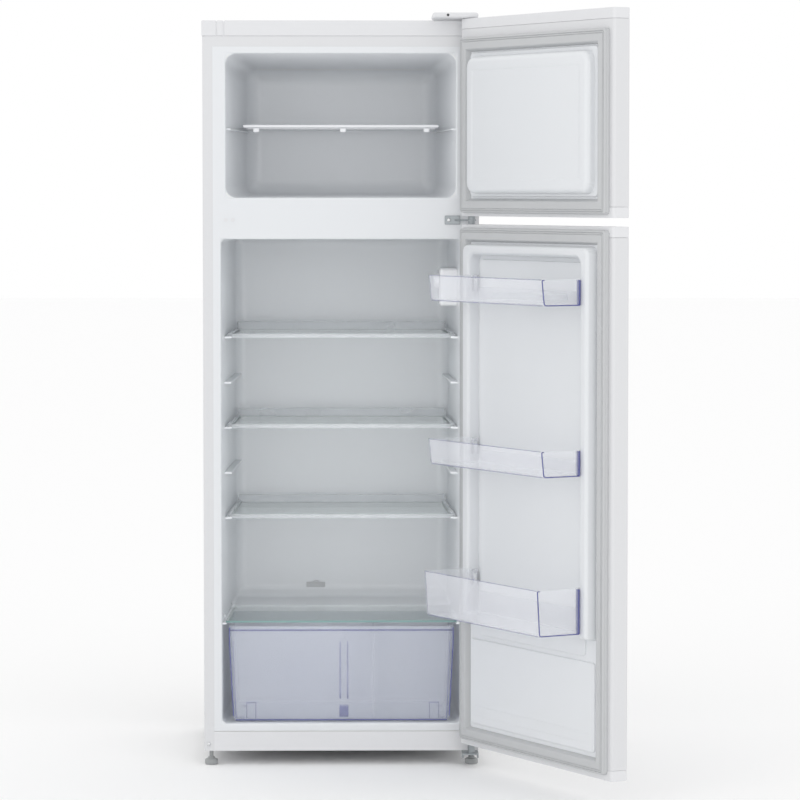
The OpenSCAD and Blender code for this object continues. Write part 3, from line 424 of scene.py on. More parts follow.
def colour(name, description, default):
    return FloatVectorProperty(name=name, description=description, subtype="COLOR", size=3, min=0, max=1,
                               default=default)


class FridgeSizes(PropertyGroup):
    liner_wall: millimetres("Liner wall", "Thickness of the formed liner in millimetres", 1.5, 0.5, 3)
    lip_radius: millimetres("Lip radius", "Rounding where the liner turns into a compartment, in millimetres",
                            3.0, 1, 6)
    door_edge: millimetres("Door edge radius", "Rounding of the doors' outer edges in millimetres", 6.0, 2, 6)
    dyke_edge: millimetres("Dyke edge radius", "Rounding of the raised rim in the fridge door in millimetres",
                           7.0, 3, 9)
    bin_wall: millimetres("Bin wall", "Wall of the clear door bins and the drawer in millimetres", 2.0, 1.5, 3)
    bin_corner: millimetres("Bin corner radius", "Rounding of the bins' corners in millimetres", 6.0, 2, 10)
    condenser_wires: IntProperty(name="Condenser wires", description="Number of wires across the back",
                                 default=64, min=10, max=100)


class FridgeColours(PropertyGroup):
    enamel: colour("Enamel", "Painted steel", (0.695, 0.70, 0.715))
    plastic: colour("White plastic", "Top cover, door caps and fittings", (0.735, 0.74, 0.757))
    liner: colour("Liner", "Formed liners", (0.752, 0.770, 0.792))
    gasket: colour("Gasket", "Soft vinyl", (0.54, 0.55, 0.56))
    feet: colour("Feet", "Levelling feet", (0.33, 0.34, 0.345))
    violet: colour("Violet plastic", "Clear door bins and drawer", (0.90, 0.915, 0.985))
    violet_edge: colour("Violet edges", "Edges of the clear bins and drawer", (0.13, 0.14, 0.36))
    violet_cover: FloatProperty(name="Violet cover",
                                description="How much of the light a clear wall holds back face on", subtype="FACTOR", default=0.14, min=0, max=1)
    glass: colour("Glass", "Shelf panes", (0.55, 0.68, 0.66))
    glass_edge: colour("Glass edge", "Polished edges of the panes", (0.20, 0.34, 0.33))


class PieceOperator:
    """What every piece's operator shares."""
    bl_options = {"REGISTER", "UNDO"}

    def execute(self, context):
        self.build(context.scene.fridge_sizes)
        return {"FINISHED"}


# ---------------------------------------------------------------- cabinet

def weigh(shape, radius_of, widest):
    """Writes each edge's bevel weight from the radius that radius_of gives it."""
    layer = shape.edges.layers.float.new("bevel_weight_edge")
    for edge in shape.edges:
        if len(edge.link_faces) == 2 and edge.calc_face_angle(0) > 0.2:
            edge[layer] = radius_of(edge.verts[0].co, edge.verts[1].co) / widest


class FRIDGE_OT_liner(PieceOperator, Operator):
    """The formed liner with its two compartments and front frame"""
    bl_idname = "fridge.liner"
    bl_label = "Inner liner"

    def build(self, sizes):
        shape = bmesh.new()
        side, low, high = HALF_W - 20, 67.2, 1410

        def point(x, z, y=0.0):
            return shape.verts.new((x, y, z))

        def skin(*verts):
            return shape.faces.new(verts)

        levels = (low, FRIDGE_LOW, STEP_Z, FRIDGE_HIGH, FREEZER_LOW, FREEZER_HIGH, high)
        left, right = [point(-side, z) for z in levels], [point(side, z) for z in levels]
        a = FRIDGE_HALF
        fridge = [point(-a, FRIDGE_LOW), point(a, FRIDGE_LOW), point(a, STEP_Z), point(a, FRIDGE_HIGH),
                  point(-a, FRIDGE_HIGH), point(-a, STEP_Z)]
        b = FREEZER_HALF
        freezer = [point(-b, FREEZER_LOW), point(b, FREEZER_LOW), point(b, FREEZER_HIGH),
                   point(-b, FREEZER_HIGH)]
        skin(left[0], right[0], right[1], fridge[1], fridge[0], left[1])
        skin(left[1], fridge[0], fridge[5], left[2])
        skin(fridge[1], right[1], right[2], fridge[2])
        skin(left[2], fridge[5], fridge[4], left[3])
        skin(fridge[2], right[2], right[3], fridge[3])
        skin(left[3], fridge[4], fridge[3], right[3], right[4], freezer[1], freezer[0], left[4])
        skin(left[4], freezer[0], freezer[3], left[5])
        skin(freezer[1], right[4], right[5], freezer[2])
        skin(left[5], freezer[3], freezer[2], right[5], right[6], left[6])

        def push(faces, depth, place):
            made = bmesh.ops.extrude_face_region(shape, geom=faces)["geom"]
            bmesh.ops.delete(shape, geom=faces, context="FACES_ONLY")
            bmesh.ops.delete(shape, geom=[edge for edge in shape.edges if not edge.link_faces], context="EDGES")
            for vert in made:
                if isinstance(vert, bmesh.types.BMVert):
                    vert.co = place(vert.co.x, depth, vert.co.z)
            return [face for face in made if isinstance(face, bmesh.types.BMFace)]

        def freezer_back(x, y, z):
            rise = 6 if z < 1250 else -22
            return Vector((math.copysign(FREEZER_HALF - FREEZER_DRAFT, x), y, z + rise))

        def fridge_at(x, y, z):
            return Vector((math.copysign(FRIDGE_HALF - FRIDGE_DRAFT * y / FRIDGE_DEPTH, x), y, z))

        push([skin(*freezer)], FREEZER_DEPTH, freezer_back)
        lower = skin(fridge[0], fridge[1], fridge[2], fridge[5])
        upper = skin(fridge[5], fridge[2], fridge[3], fridge[4])
        stepped = push([lower, upper], STEP_Y, fridge_at)
        upper = [face for face in stepped if face.calc_center_median().z > STEP_Z + 10]
        upper = push(upper, FRIDGE_DEPTH - 18, fridge_at)
        push(upper, FRIDGE_DEPTH, lambda x, y, z: fridge_at(x, y, z + (18 if z < STEP_Z + 5 else 0)))
        shape.normal_update()
        flat = [edge for edge in shape.edges if len(edge.link_faces) == 2 and edge.calc_face_angle(1) < 0.004
                and max(vert.co.y for vert in edge.verts) > 1]
        bmesh.ops.dissolve_edges(shape, edges=flat, use_verts=True)

        def radius(p, q):
            if max(p.y, q.y) < 0.5:
                return sizes.lip_radius
            if min(p.y, q.y) > FREEZER_DEPTH - 1 and p.z > 1100:
                return 30
            if max(p.z, q.z) < STEP_Z + 20 and min(p.y, q.y) > FRIDGE_DEPTH - 20:
                return 7
            if min(p.y, q.y) > FRIDGE_DEPTH - 1:
                return 22
            if abs(p.y - q.y) > 50:
                if p.z > 1100:
                    return 22
                return 10 if p.z > 900 else 12 if p.z < 100 else 8
            if abs(p.y - STEP_Y) < 1 and abs(q.y - STEP_Y) < 1:
                return 4 if p.z > 280 and q.z > 280 else 14
            return 10

        weigh(shape, radius, 30)
        set_down("formed_liner", shape, "liner", "cabinet", stands_for=["inner_liner"],
                 modifiers=[
            ("BEVEL", "Formed corners",
             dict(limit_method="WEIGHT", width=0.03, segments=8, profile=0.5, use_clamp_overlap=False)),
            ("SOLIDIFY", "Liner wall", dict(thickness=sizes.liner_wall / 1000, offset=-1)),
        ])
        self.ribs()
        self.marks()

    def ribs(self):
        ribs = []
        for top in RIB_HEIGHTS:
            for side in (-1, 1):
                outer = [fridge_wall(y) + 0.5 for y in (100, 428)]
                inner = [fridge_wall(y) - 13.5 for y in (104, 424)]
                points = [(side * outer[0], 97, top), (side * inner[0], 104, top), (side * inner[1], 424, top),
                          (side * outer[1], 432, top)]
                if side < 0:
                    points.reverse()
                ribs.append(prism(points, (0, 0, -4.5), radius=1.6, segments=3))
        for side in (-1, 1):
            wall = [FREEZER_HALF - FREEZER_DRAFT * y / FREEZER_DEPTH for y in (34, 372)]
            points = [(side * (wall[0] + 0.5), 28, 1252), (side * (wall[0] - 6), 34, 1252),
                      (side * (wall[1] - 6), 368, 1252), (side * (wall[1] + 0.5), 376, 1252)]
            if side < 0:
                points.reverse()
            ribs.append(prism(points, (0, 0, -4), radius=1.4, segments=3))
        cover = [(fridge_wall(22) + 0.5, 20, 279), (fridge_wall(22) - 8, 24, 279),
                 (fridge_wall(284) - 8, 284, 279), (fridge_wall(284) + 0.5, 284, 279)]
        ribs.append(prism(cover, (0, 0, -4), radius=1.2))
        ribs.append(prism([(-x, y, z) for x, y, z in reversed(cover)], (0, 0, -4), radius=1.2))
        set_down("liner_shelf_ribs", joined(ribs), "liner", "cabinet")

    def marks(self):
        """The drain's spout in the back wall, and the button dimples on the walls."""
        buttons = []
        for x, y, z, radius in ((-231.3, 60, 288, 4), (-223.2, 60, 1216, 5.5), (220.6, 70, 1223, 5.5)):
            turn = Matrix.Rotation(math.radians(90 if x < 0 else -90), 4, "Y")
            buttons.append(turned([(0, 1.4), (radius * 0.6, 1.2), (radius, 0.2), (radius, -2), (0, -2)],
                                  Matrix.Translation((x - math.copysign(0.9, x), y, z)) @ turn, 24))
        set_down("liner_buttons", joined(buttons), "liner", "cabinet")
        spout = block(-74, -35, FRIDGE_DEPTH - 1.4, FRIDGE_DEPTH + 0.6, 302, 313, 0.9, 3)
        set_down("drain_spout", spout, "gasket", "cabinet")


def fridge_wall(y):
    return FRIDGE_HALF - FRIDGE_DRAFT * y / FRIDGE_DEPTH


class FRIDGE_OT_top_cover(PieceOperator, Operator):
    """The plastic top cover with its end strips, and the cover over the top hinge"""
    bl_idname = "fridge.top_cover"
    bl_label = "Top cover"

    def build(self, sizes):
        low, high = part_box("top_cover")[0].z * 1000, 1461.0
        out, depth = HALF_W + 1.5, 490
        cuts = [(-out, -HALF_W + 27.6), (-HALF_W + 28.4, -HALF_W + 41.4), (-HALF_W + 42.6, out)]
        strips = [block(x0, x1, 0, depth, low + 0.4, high, 2.2, 4) for x0, x1 in cuts]
        strips.append(block(-out + 6, out - 6, 1.5, depth - 4, low, high - 2))
        strips.append(block(HALF_W - 90, HALF_W - 5, 3, 62, high - 1, high + 3, 1.0, 2))
        set_down("top_cover_moulding", joined(strips), "plastic", "cabinet", stands_for=["top_cover"])
        low_corner, high_corner = cad_corners("top_hinge_cover")
        hood = block(low_corner.x, high_corner.x, low_corner.y, high_corner.y, low_corner.z, high_corner.z, 5,
                     5)
        set_down("top_hinge_hood", hood, "plastic", "cabinet", stands_for=["top_hinge_cover"])
        # A thin dark disc in the hood's screw hole: painted shade for the hole's unlit inside
        hole = turned([(0, 0.25), (2.6, 0.25), (2.6, -0.4), (0, -0.4)],
                      Matrix.Translation((208, low_corner.y, 1469.5)) @ Matrix.Rotation(math.radians(90), 4, "X"), 20)
        set_down("hood_screw_hole_shade", hole, "painted_shade", "cabinet")


# ---------------------------------------------------------------- doors

def door_parts(prefix, body, span, gasket, sizes):
    """Skin, caps and gasket of one door, drawn closed."""
    low, high = span
    nodes = [f"{prefix}_{end}" for end in ("skin", "top_cap", "bottom_cap", "gasket", "liner")]
    skin = block(-HALF_W, HALF_W, DOOR_BACK, DOOR_FACE - 0.3, low + 20.25, high - 20.25, sizes.door_edge, 8,
                 along=2)
    set_down(f"{prefix}_panel", skin, "enamel", body, DOOR, stands_for=[nodes[0]])
    for label, z0, z1, node in (("top", high - 20, high, nodes[1]), ("bottom", low, low + 20, nodes[2])):
        cap = block(-HALF_W + 0.25, HALF_W - 0.25, DOOR_BACK + 0.25, DOOR_FACE - 0.3, z0, z1,
                    sizes.door_edge - 0.5, 8, along=2)
        rims = [edge for edge in cap.edges if edge.calc_face_angle(0) > 1.2]
        round_edges(cap, 1.2, 3, rims)
        set_down(f"{prefix}_{label}_end", cap, "plastic", body, DOOR, stands_for=[node])
    core = block(-HALF_W + 1, HALF_W - 1, DOOR_BACK + 1, DOOR_FACE - 1.2, low + 20.5, high - 20.5,
                 sizes.door_edge, 4, along=2)
    set_down(f"{prefix}_core", core, "foam", body, DOOR, stands_for=[f"{prefix}_foam"])
    steps = [(0.01, 4.0), (1.2, 1.2), (0.01, 4.2), (1.4, 1.4), (1.6, 0.3), (0.6, -1.6), (0.8, 0.0), (0.6, 1.6),
             (1.6, 0.0),
             (0.6, -1.4), (0.8, 0.0), (0.6, 1.4), (11.6, 0.7), (1.6, -0.3), (1.4, -1.6), (1.2, -4.0), (1.6, -2.2), (1.2, -3.6)]
    ring = formed(rect(*gasket, 8), DOOR_FACE - 0.3, steps, hollow=True)
    set_down(f"{prefix}_seal", ring, "gasket", body, DOOR, stands_for=[nodes[3]])
    return nodes[4]


def rect(x0, x1, z0, z1, radius=0.0):
    """The corners of a rectangle for a formed panel."""
    return [(x0, z0, radius), (x1, z0, radius), (x1, z1, radius), (x0, z1, radius)]


def soft_rise(height, radius, flare=2.5):
    """Inset and rise steps of a formed wall: a flared foot, a steep side and a rounded shoulder."""
    steps = [(flare * 0.5, flare * 0.15), (flare * 0.35, flare * 0.35), (flare * 0.15, flare * 0.5)]
    straight = height - flare - radius
    steps.append((straight * 0.12, straight))
    last = (0.0, 0.0)
    for i in range(1, 7):
        angle = math.radians(90 * i / 6)
        here = (radius * (1 - math.cos(angle)), radius * math.sin(angle))
        steps.append((here[0] - last[0], here[1] - last[1]))
        last = here
    return steps


class FRIDGE_OT_freezer_door(PieceOperator, Operator):
    """The freezer door: panel, caps, seal and formed liner"""
    bl_idname = "fridge.freezer_door"
    bl_label = "Freezer door"

    def build(self, sizes):
        liner = door_parts("freezer_door", "freezer_door", FREEZER_DOOR, (-257.5, 257.5, 1086.5, 1425.7), sizes)
        sheet = formed(rect(-252, 252, 1092, 1420), DOOR_FACE - 1.5, [(0.01, 1.3), (0.4, 0.4)])
        rim = formed(rect(-226.5, 226.5, 1117.5, 1396.5, 10), DOOR_FACE - 0.5, soft_rise(6.0, 1.8, 1.4))
        plug = formed(rect(-219.5, 219.5, 1121, 1390.5, 26), DOOR_FACE + 4.5,
                      soft_rise(18.5, 10.5, 3.0) + [(14, 0.0), (2.0, -0.5), (2.0, -0.4)], arc=9)
        set_down("freezer_door_formed_liner", joined([sheet, rim, plug]), "liner", "freezer_door", DOOR,
                 stands_for=[liner])


class FRIDGE_OT_fridge_door(PieceOperator, Operator):
    """The fridge door: panel, caps, seal, and the formed liner with its raised rim and lugs"""
    bl_idname = "fridge.fridge_door"
    bl_label = "Fridge door"

    def build(self, sizes):
        liner = door_parts("fridge_door", "fridge_door", FRIDGE_DOOR, (-257.5, 257.5, 57.5, 1058.5), sizes)
        sheet = formed(rect(-252, 252, 62, 1054), DOOR_FACE - 1.5, [(0.01, 1.3), (0.4, 0.4)])
        rim = formed(rect(-226.5, 226.5, 84, 1033, 8), DOOR_FACE - 0.5, soft_rise(3.2, 1.2, 1.0))
        outer, inner, head = DYKE_HALF, DYKE_HALF - DYKE_WIDE, DYKE_HIGH - 27
        hoop = [(outer, DYKE_LOW, 7), (outer, DYKE_HIGH, 18), (-outer, DYKE_HIGH, 18), (-outer, DYKE_LOW, 7),
                (-inner, DYKE_LOW, 7), (-inner, head, 12), (inner, head, 12), (inner, DYKE_LOW, 7)]
        dyke_foot = DOOR_FACE + 1.6
        dyke = formed(hoop, dyke_foot, soft_rise(DYKE_FACE - dyke_foot - 0.1, sizes.dyke_edge, 2.5))
        panel = formed(rect(-inner + 3, inner - 3, 268, DYKE_HIGH - 30, 12), DOOR_FACE + 1.4,
                       soft_rise(4.4, 2.4, 1.6))
        low_panel = formed(rect(-222, 222, 92, 262, 8), DOOR_FACE + 1.4, soft_rise(4.2, 2.4, 1.6))
        lines = [block(-205, 205, DOOR_FACE + 4.0, DOOR_FACE + 6.0, z, z + 1.6, 0.7, 2) for z in (108, 128)]
        lugs = []
        for bottom, height, _, _ in BINS.values():
            for side in (-1, 1):
                lugs.append(block(*sorted((side * (inner - 6), side * (inner + 3))), -2, 6,
                                  bottom + height - 30, bottom + height - 8, 1.6, 3))
        set_down("fridge_door_formed_liner", joined([sheet, rim, dyke, panel, low_panel] + lines + lugs),
                 "liner",
                 "fridge_door", DOOR, stands_for=[liner])


def tray(outline, height, corner, raise_rule=None, foot=4.0):
    """An open tray: an outline pushed up, its corners rounded, its top opened and its walls given thickness."""
    shape = shape_of(outline)
    layer = shape.edges.layers.float.new("bevel_weight_edge")
    bottom = shape.faces[:]
    made = bmesh.ops.extrude_face_region(shape, geom=bottom, use_keep_orig=True)["geom"]
    top_verts = [item for item in made if isinstance(item, bmesh.types.BMVert)]
    top_face = [item for item in made if isinstance(item, bmesh.types.BMFace)]
    bmesh.ops.translate(shape, verts=top_verts, vec=(0, 0, height))
    if raise_rule:
        for vert in top_verts:
            vert.co = raise_rule(vert.co)
    bmesh.ops.recalc_face_normals(shape, faces=shape.faces)
    bmesh.ops.delete(shape, geom=top_face, context="FACES_ONLY")
    rim_level = {vert for vert in top_verts if vert.is_valid}
    upright = [edge for edge in shape.edges if sum(vert in rim_level for vert in edge.verts) == 1]
    foot_edges = [edge for edge in shape.edges if not any(vert in rim_level for vert in edge.verts)]
    for edge in upright:
        edge[layer] = corner / 20
    for edge in foot_edges:
        edge[layer] = foot / 20
    return shape


def set_tray(name, shape, finish, body, place, wall, stands_for):
    """Sets down a tray with its corners, wall and rim finished by modifiers."""
    return set_down(name, shape, finish, body, place, stands_for=stands_for, modifiers=[
        ("BEVEL", "Moulded corners", dict(limit_method="WEIGHT", width=0.02, segments=5, profile=0.5)),
        ("SOLIDIFY", "Wall", dict(thickness=wall / 1000, offset=-1, use_even_offset=True)),
        ("BEVEL", "Rolled rim",
         dict(limit_method="ANGLE", angle_limit=math.radians(60), width=0.0006, segments=2, profile=0.5)),
    ])


class FRIDGE_OT_door_bins(PieceOperator, Operator):
    """The three clear bins that drop over the lugs in the fridge door"""
    bl_idname = "fridge.door_bins"
    bl_label = "Door bins"

    def build(self, sizes):
        inner = DYKE_HALF - DYKE_WIDE
        neck = inner - 7
        for label, (bottom, height, depth, back) in BINS.items():
            near, far = DYKE_FACE + 0.6, DYKE_FACE + 0.6 + depth
            rear = DOOR_FACE + 8.5
            outline = [(-BIN_HALF, near, bottom), (-neck, near, bottom), (-neck, rear, bottom),
                       (neck, rear, bottom),
                       (neck, near, bottom), (BIN_HALF, near, bottom), (BIN_HALF, far - 5.5, bottom), (-BIN_HALF, far - 5.5, bottom)]

            def lean(co, far=far, near=near, back=back, bottom=bottom):
                if co.y > far - 20:
                    return Vector((co.x, far, co.z))
                if co.y < near - 3:
                    return Vector((co.x, co.y, bottom + back))
                return co

            shape = tray(outline, height, sizes.bin_corner, lean, foot=5)
            set_tray(f"{label}_bin_tray", shape, "violet", f"{label}_bin", DOOR, sizes.bin_wall,
                     [f"{label}_door_bin"])
            hooks = []
            top = bottom + height
            for side in (-1, 1):
                x0, x1 = sorted((side * (neck + 0.2), side * (inner - 0.9)))
                hooks.append(block(x0, x1, -4.6, -2.6, top - 32, top - 0.5, 0.6, 2))
                hooks.append(block(x0, x1, 6.6, 8.6, top - 32, top - 0.5, 0.6, 2))
                hooks.append(block(x0, x1, -2.6, 6.6, top - 7.4, top - 0.5, 0.6, 2))
            set_down(f"{label}_bin_hooks", joined(hooks), "violet", f"{label}_bin", DOOR)
            self.edges(label, bottom, top, near, far)
        self.egg_tray()

    def edges(self, label, bottom, top, near, far):
        """The thick outline of a bin's free end and its rim, which show darker than its thin walls."""
        lean = 5.5
        foot, end = far - lean, BIN_HALF
        rim = [rod((-end + 3, far - 0.8, top - 0.4), (end - 3, far - 0.8, top - 0.4), 0.7, 8),
               rod((end - 1.2, far - 3, top - 1), (end - 1.2, foot - 3, bottom + 3), 0.7, 8),
               rod((end - 4, foot - 1.2, bottom + 1), (-end + 6, foot - 1.2, bottom + 1), 0.5, 8)]
        set_down(f"{label}_bin_rim", joined(rim), "violet_rim", f"{label}_bin", DOOR)
        outline_path = [(-end + 1.3, far - 7, top - 1.2), (-end + 1.3, far - 2.2, top - 1.2),
                        (-end + 1.3, foot - 1.6, bottom + 1.4),
                        (-end + 1.3, near + 2, bottom + 1.4)]
        bracket = block(-end + 0.2, -end + 5, near + 0.3, near + 6.5, bottom + 1, top - 1, 1.0, 2)
        set_down(f"{label}_bin_end", joined([pipe(outline_path, 1.15, bend=5, sides=12), bracket]),
                 "violet_edge",
                 f"{label}_bin", DOOR)

    def egg_tray(self):
        shape = bmesh.new()
        wide, long, z = 92.0, 36.0, BINS["top"][0] + 22.0
        x0, y0 = -BIN_HALF + 22, DYKE_FACE + 3.9
        bmesh.ops.create_grid(shape, x_segments=4, y_segments=2, size=1)
        bmesh.ops.transform(shape, verts=shape.verts,
                            matrix=Matrix.Translation((x0 + wide, y0 + long, z)) @ Matrix.Diagonal((wide, long, 1, 1)))
        cups = shape.faces[:]
        bmesh.ops.inset_individual(shape, faces=cups, thickness=4, depth=0, use_even_offset=True)
        bmesh.ops.inset_individual(shape, faces=cups, thickness=3, depth=-6, use_even_offset=True)
        bmesh.ops.inset_individual(shape, faces=cups, thickness=7, depth=-6, use_even_offset=True)
        skirt = bmesh.ops.extrude_edge_only(shape,
                                            edges=[edge for edge in shape.edges if edge.is_boundary])["geom"]
        bmesh.ops.translate(shape, verts=[item for item in skirt if isinstance(item, bmesh.types.BMVert)],
                            vec=(0, 0, -12))
        bmesh.ops.recalc_face_normals(shape, faces=shape.faces)
        set_down("egg_holder", shape, "clear", "eggs_tray", DOOR, stands_for=["egg_tray"],
                 modifiers=[
            ("SOLIDIFY", "Wall", dict(thickness=0.0012, offset=-1)),
            ("SUBSURF", "Rounded cups", dict(levels=2, render_levels=2)),
        ])


# ---------------------------------------------------------------- shelves and drawer

class FRIDGE_OT_shelves(PieceOperator, Operator):
    """The glass shelves' trims, the wire shelf and its clips"""
    bl_idname = "fridge.shelves"
    bl_label = "Shelves"

    def build(self, sizes):
        for label, z in SHELF_HEIGHTS.items():
            parts = []
            half = fridge_wall(105) - 5.2
            rear_half = fridge_wall(428) - 5.2
            parts.append(block(-half, half, 105, 119, z - 3.5, z + 5, 2.4, 4))
            parts.append(block(-rear_half, rear_half, 419, 428, z - 0.2, z + 18, 2.0, 4))
            for side in (-1, 1):
                strip = [(side * half, 112, z + 4.1), (side * (half - 8), 112, z + 4.1),
                         (side * (rear_half - 8), 424, z + 4.1), (side * rear_half, 424, z + 4.1)]
                if side > 0:
                    strip.reverse()
                parts.append(prism(strip, (0, 0, 1.6), radius=0.6, segments=2))
            set_down(f"{label}_shelf_rails", joined(parts), "clear", f"{label}_shelf",
                     stands_for=[f"{label}_shelf_trim"])
        self.wire_shelf()

    def wire_shelf(self):
        box = cad_corners("wire_shelf")
        half, z = box[1].x, 1256.0
        wires = [pipe([(-half + 3, 374, z), (-half + 3, 38, z), (half - 3, 38, z), (half - 3, 374, z),
                       (-half + 3, 374, z)], 3.0, bend=14, sides=16)]
        wires += [rod((-half + 3, y, z - 2.2), (half - 3, y, z - 2.2), 2.2, 12) for y in (144, 254)]
        count = int((half - 14) // 20)
        wires += [rod((i * 20.0, 37, z + 2.2), (i * 20.0, 376, z + 2.2), 1.4,
                      8) for i in range(-count, count + 1)]
        wires.append(block(-half, half, 34, 38.5, z - 2.6, z + 2.6, 1.8, 4))
        set_down("coated_wire_shelf", joined(wires), "coated_wire", "freezer_rack", stands_for=["wire_shelf"])
        clips = []
        for x in (-166, 4, 168):
            clips.append(block(x - 6, x + 6, 34, 43, z - 12, z - 3.6, 2.2, 3))
        set_down("wire_shelf_feet", joined(clips), "coated_wire", "freezer_rack",
                 stands_for=["wire_shelf_clips"])


class FRIDGE_OT_crisper(PieceOperator, Operator):
    """The clear crisper drawer with its ribs and feet, and its divider"""
    bl_idname = "fridge.crisper"
    bl_label = "Crisper drawer"

    def build(self, sizes):
        box = cad_corners("crisper_drawer")
        top_half, front, rear, high = box[1].x, box[0].y, box[1].y, box[1].z
        low, draft = 85.0, 8.0
        outline = [(-top_half + draft, front + 4, low), (-top_half + draft, rear - draft, low),
                   (top_half - draft, rear - draft, low), (top_half - draft, front + 4, low)]

        def lean(co):
            return Vector((math.copysign(top_half, co.x), front if co.y < 100 else rear, co.z))

        shape = tray(outline, high - low, 10, lean, foot=6)
        set_tray("crisper_drawer_tub", shape, "violet_drawer", "drawer", CABINET, sizes.bin_wall,
                 ["crisper_drawer"])
        ribs = [block(-top_half, top_half, front - 0.2, front + 1.8, high - 9, high - 6, 0.8, 2)]
        for x0, x1 in ((-4, -0.5), (10.5, 14)):
            ribs.append(block(x0, x1, front + 2.8, front + 6.2, 128, 243, 1.2, 3))
        ribs.append(block(-4, 14, front + 3.4, front + 6.2, 92, 116, 1.2, 3))
        for x in (-178, 183):
            for left in (-10, 8):
                ribs.append(block(x + left, x + left + 2, front + 3.8, front + 6.2, 90, 121, 0.8, 2))
            ribs.append(block(x - 10, x + 10, front + 3.8, front + 6.2, 119, 121.5, 0.8, 2))
        for x in (-199, 199):
            for y in (front + 50, rear - 50):
                ribs.append(block(x - 6, x + 6, y - 10, y + 10, FRIDGE_LOW + 0.4, low + 0.3, 0.8, 2))
        set_down("crisper_drawer_ribs", joined(ribs), "violet_rim", "drawer")
        foot_half = top_half - draft
        lines = [rod((-foot_half + 5, front + 4.6, low + 0.9), (foot_half - 5, front + 4.6, low + 0.9), 1.0, 8)]
        for side in (-1, 1):
            lines.append(pipe([(side * (top_half - 1.0), front + 1, high - 2),
                               (side * (top_half - 1.2), front + 1.2, high - 34),
                               (side * (foot_half - 0.8), front + 4.4, low + 9)], 1.0, bend=4, sides=12))
            lines.append(rod((side * (top_half - 8), front + 2.6, high - 30),
                             (side * (foot_half - 6), front + 5, low + 4), 0.5, 8))
        set_down("crisper_drawer_outline", joined(lines), "violet_edge", "drawer")
        pane = cad_corners("crisper_cover")
        bead = block(pane[0].x + 0.2, pane[1].x - 0.2, pane[0].y - 0.5, pane[0].y + 0.9, pane[0].z + 0.1,
                     pane[1].z - 0.1, 0.5, 3)
        set_down("cover_polished_edge", bead, "glass_edge", "drawer_cover")
        divider = cad_corners("crisper_divider")
        x0, x1 = divider[0].x, divider[1].x
        side_view = [(x0, divider[0].y + 4, divider[0].z), (x0, divider[0].y, divider[1].z),
                     (x0, divider[1].y, divider[1].z), (x0, divider[1].y - 8, divider[0].z)]
        plate = prism(side_view, (x1 - x0, 0, 0), radius=0.7, segments=2)
        set_down("crisper_divider_plate", plate, "violet", "divider", stands_for=["crisper_divider"])


# ---------------------------------------------------------------- small fittings

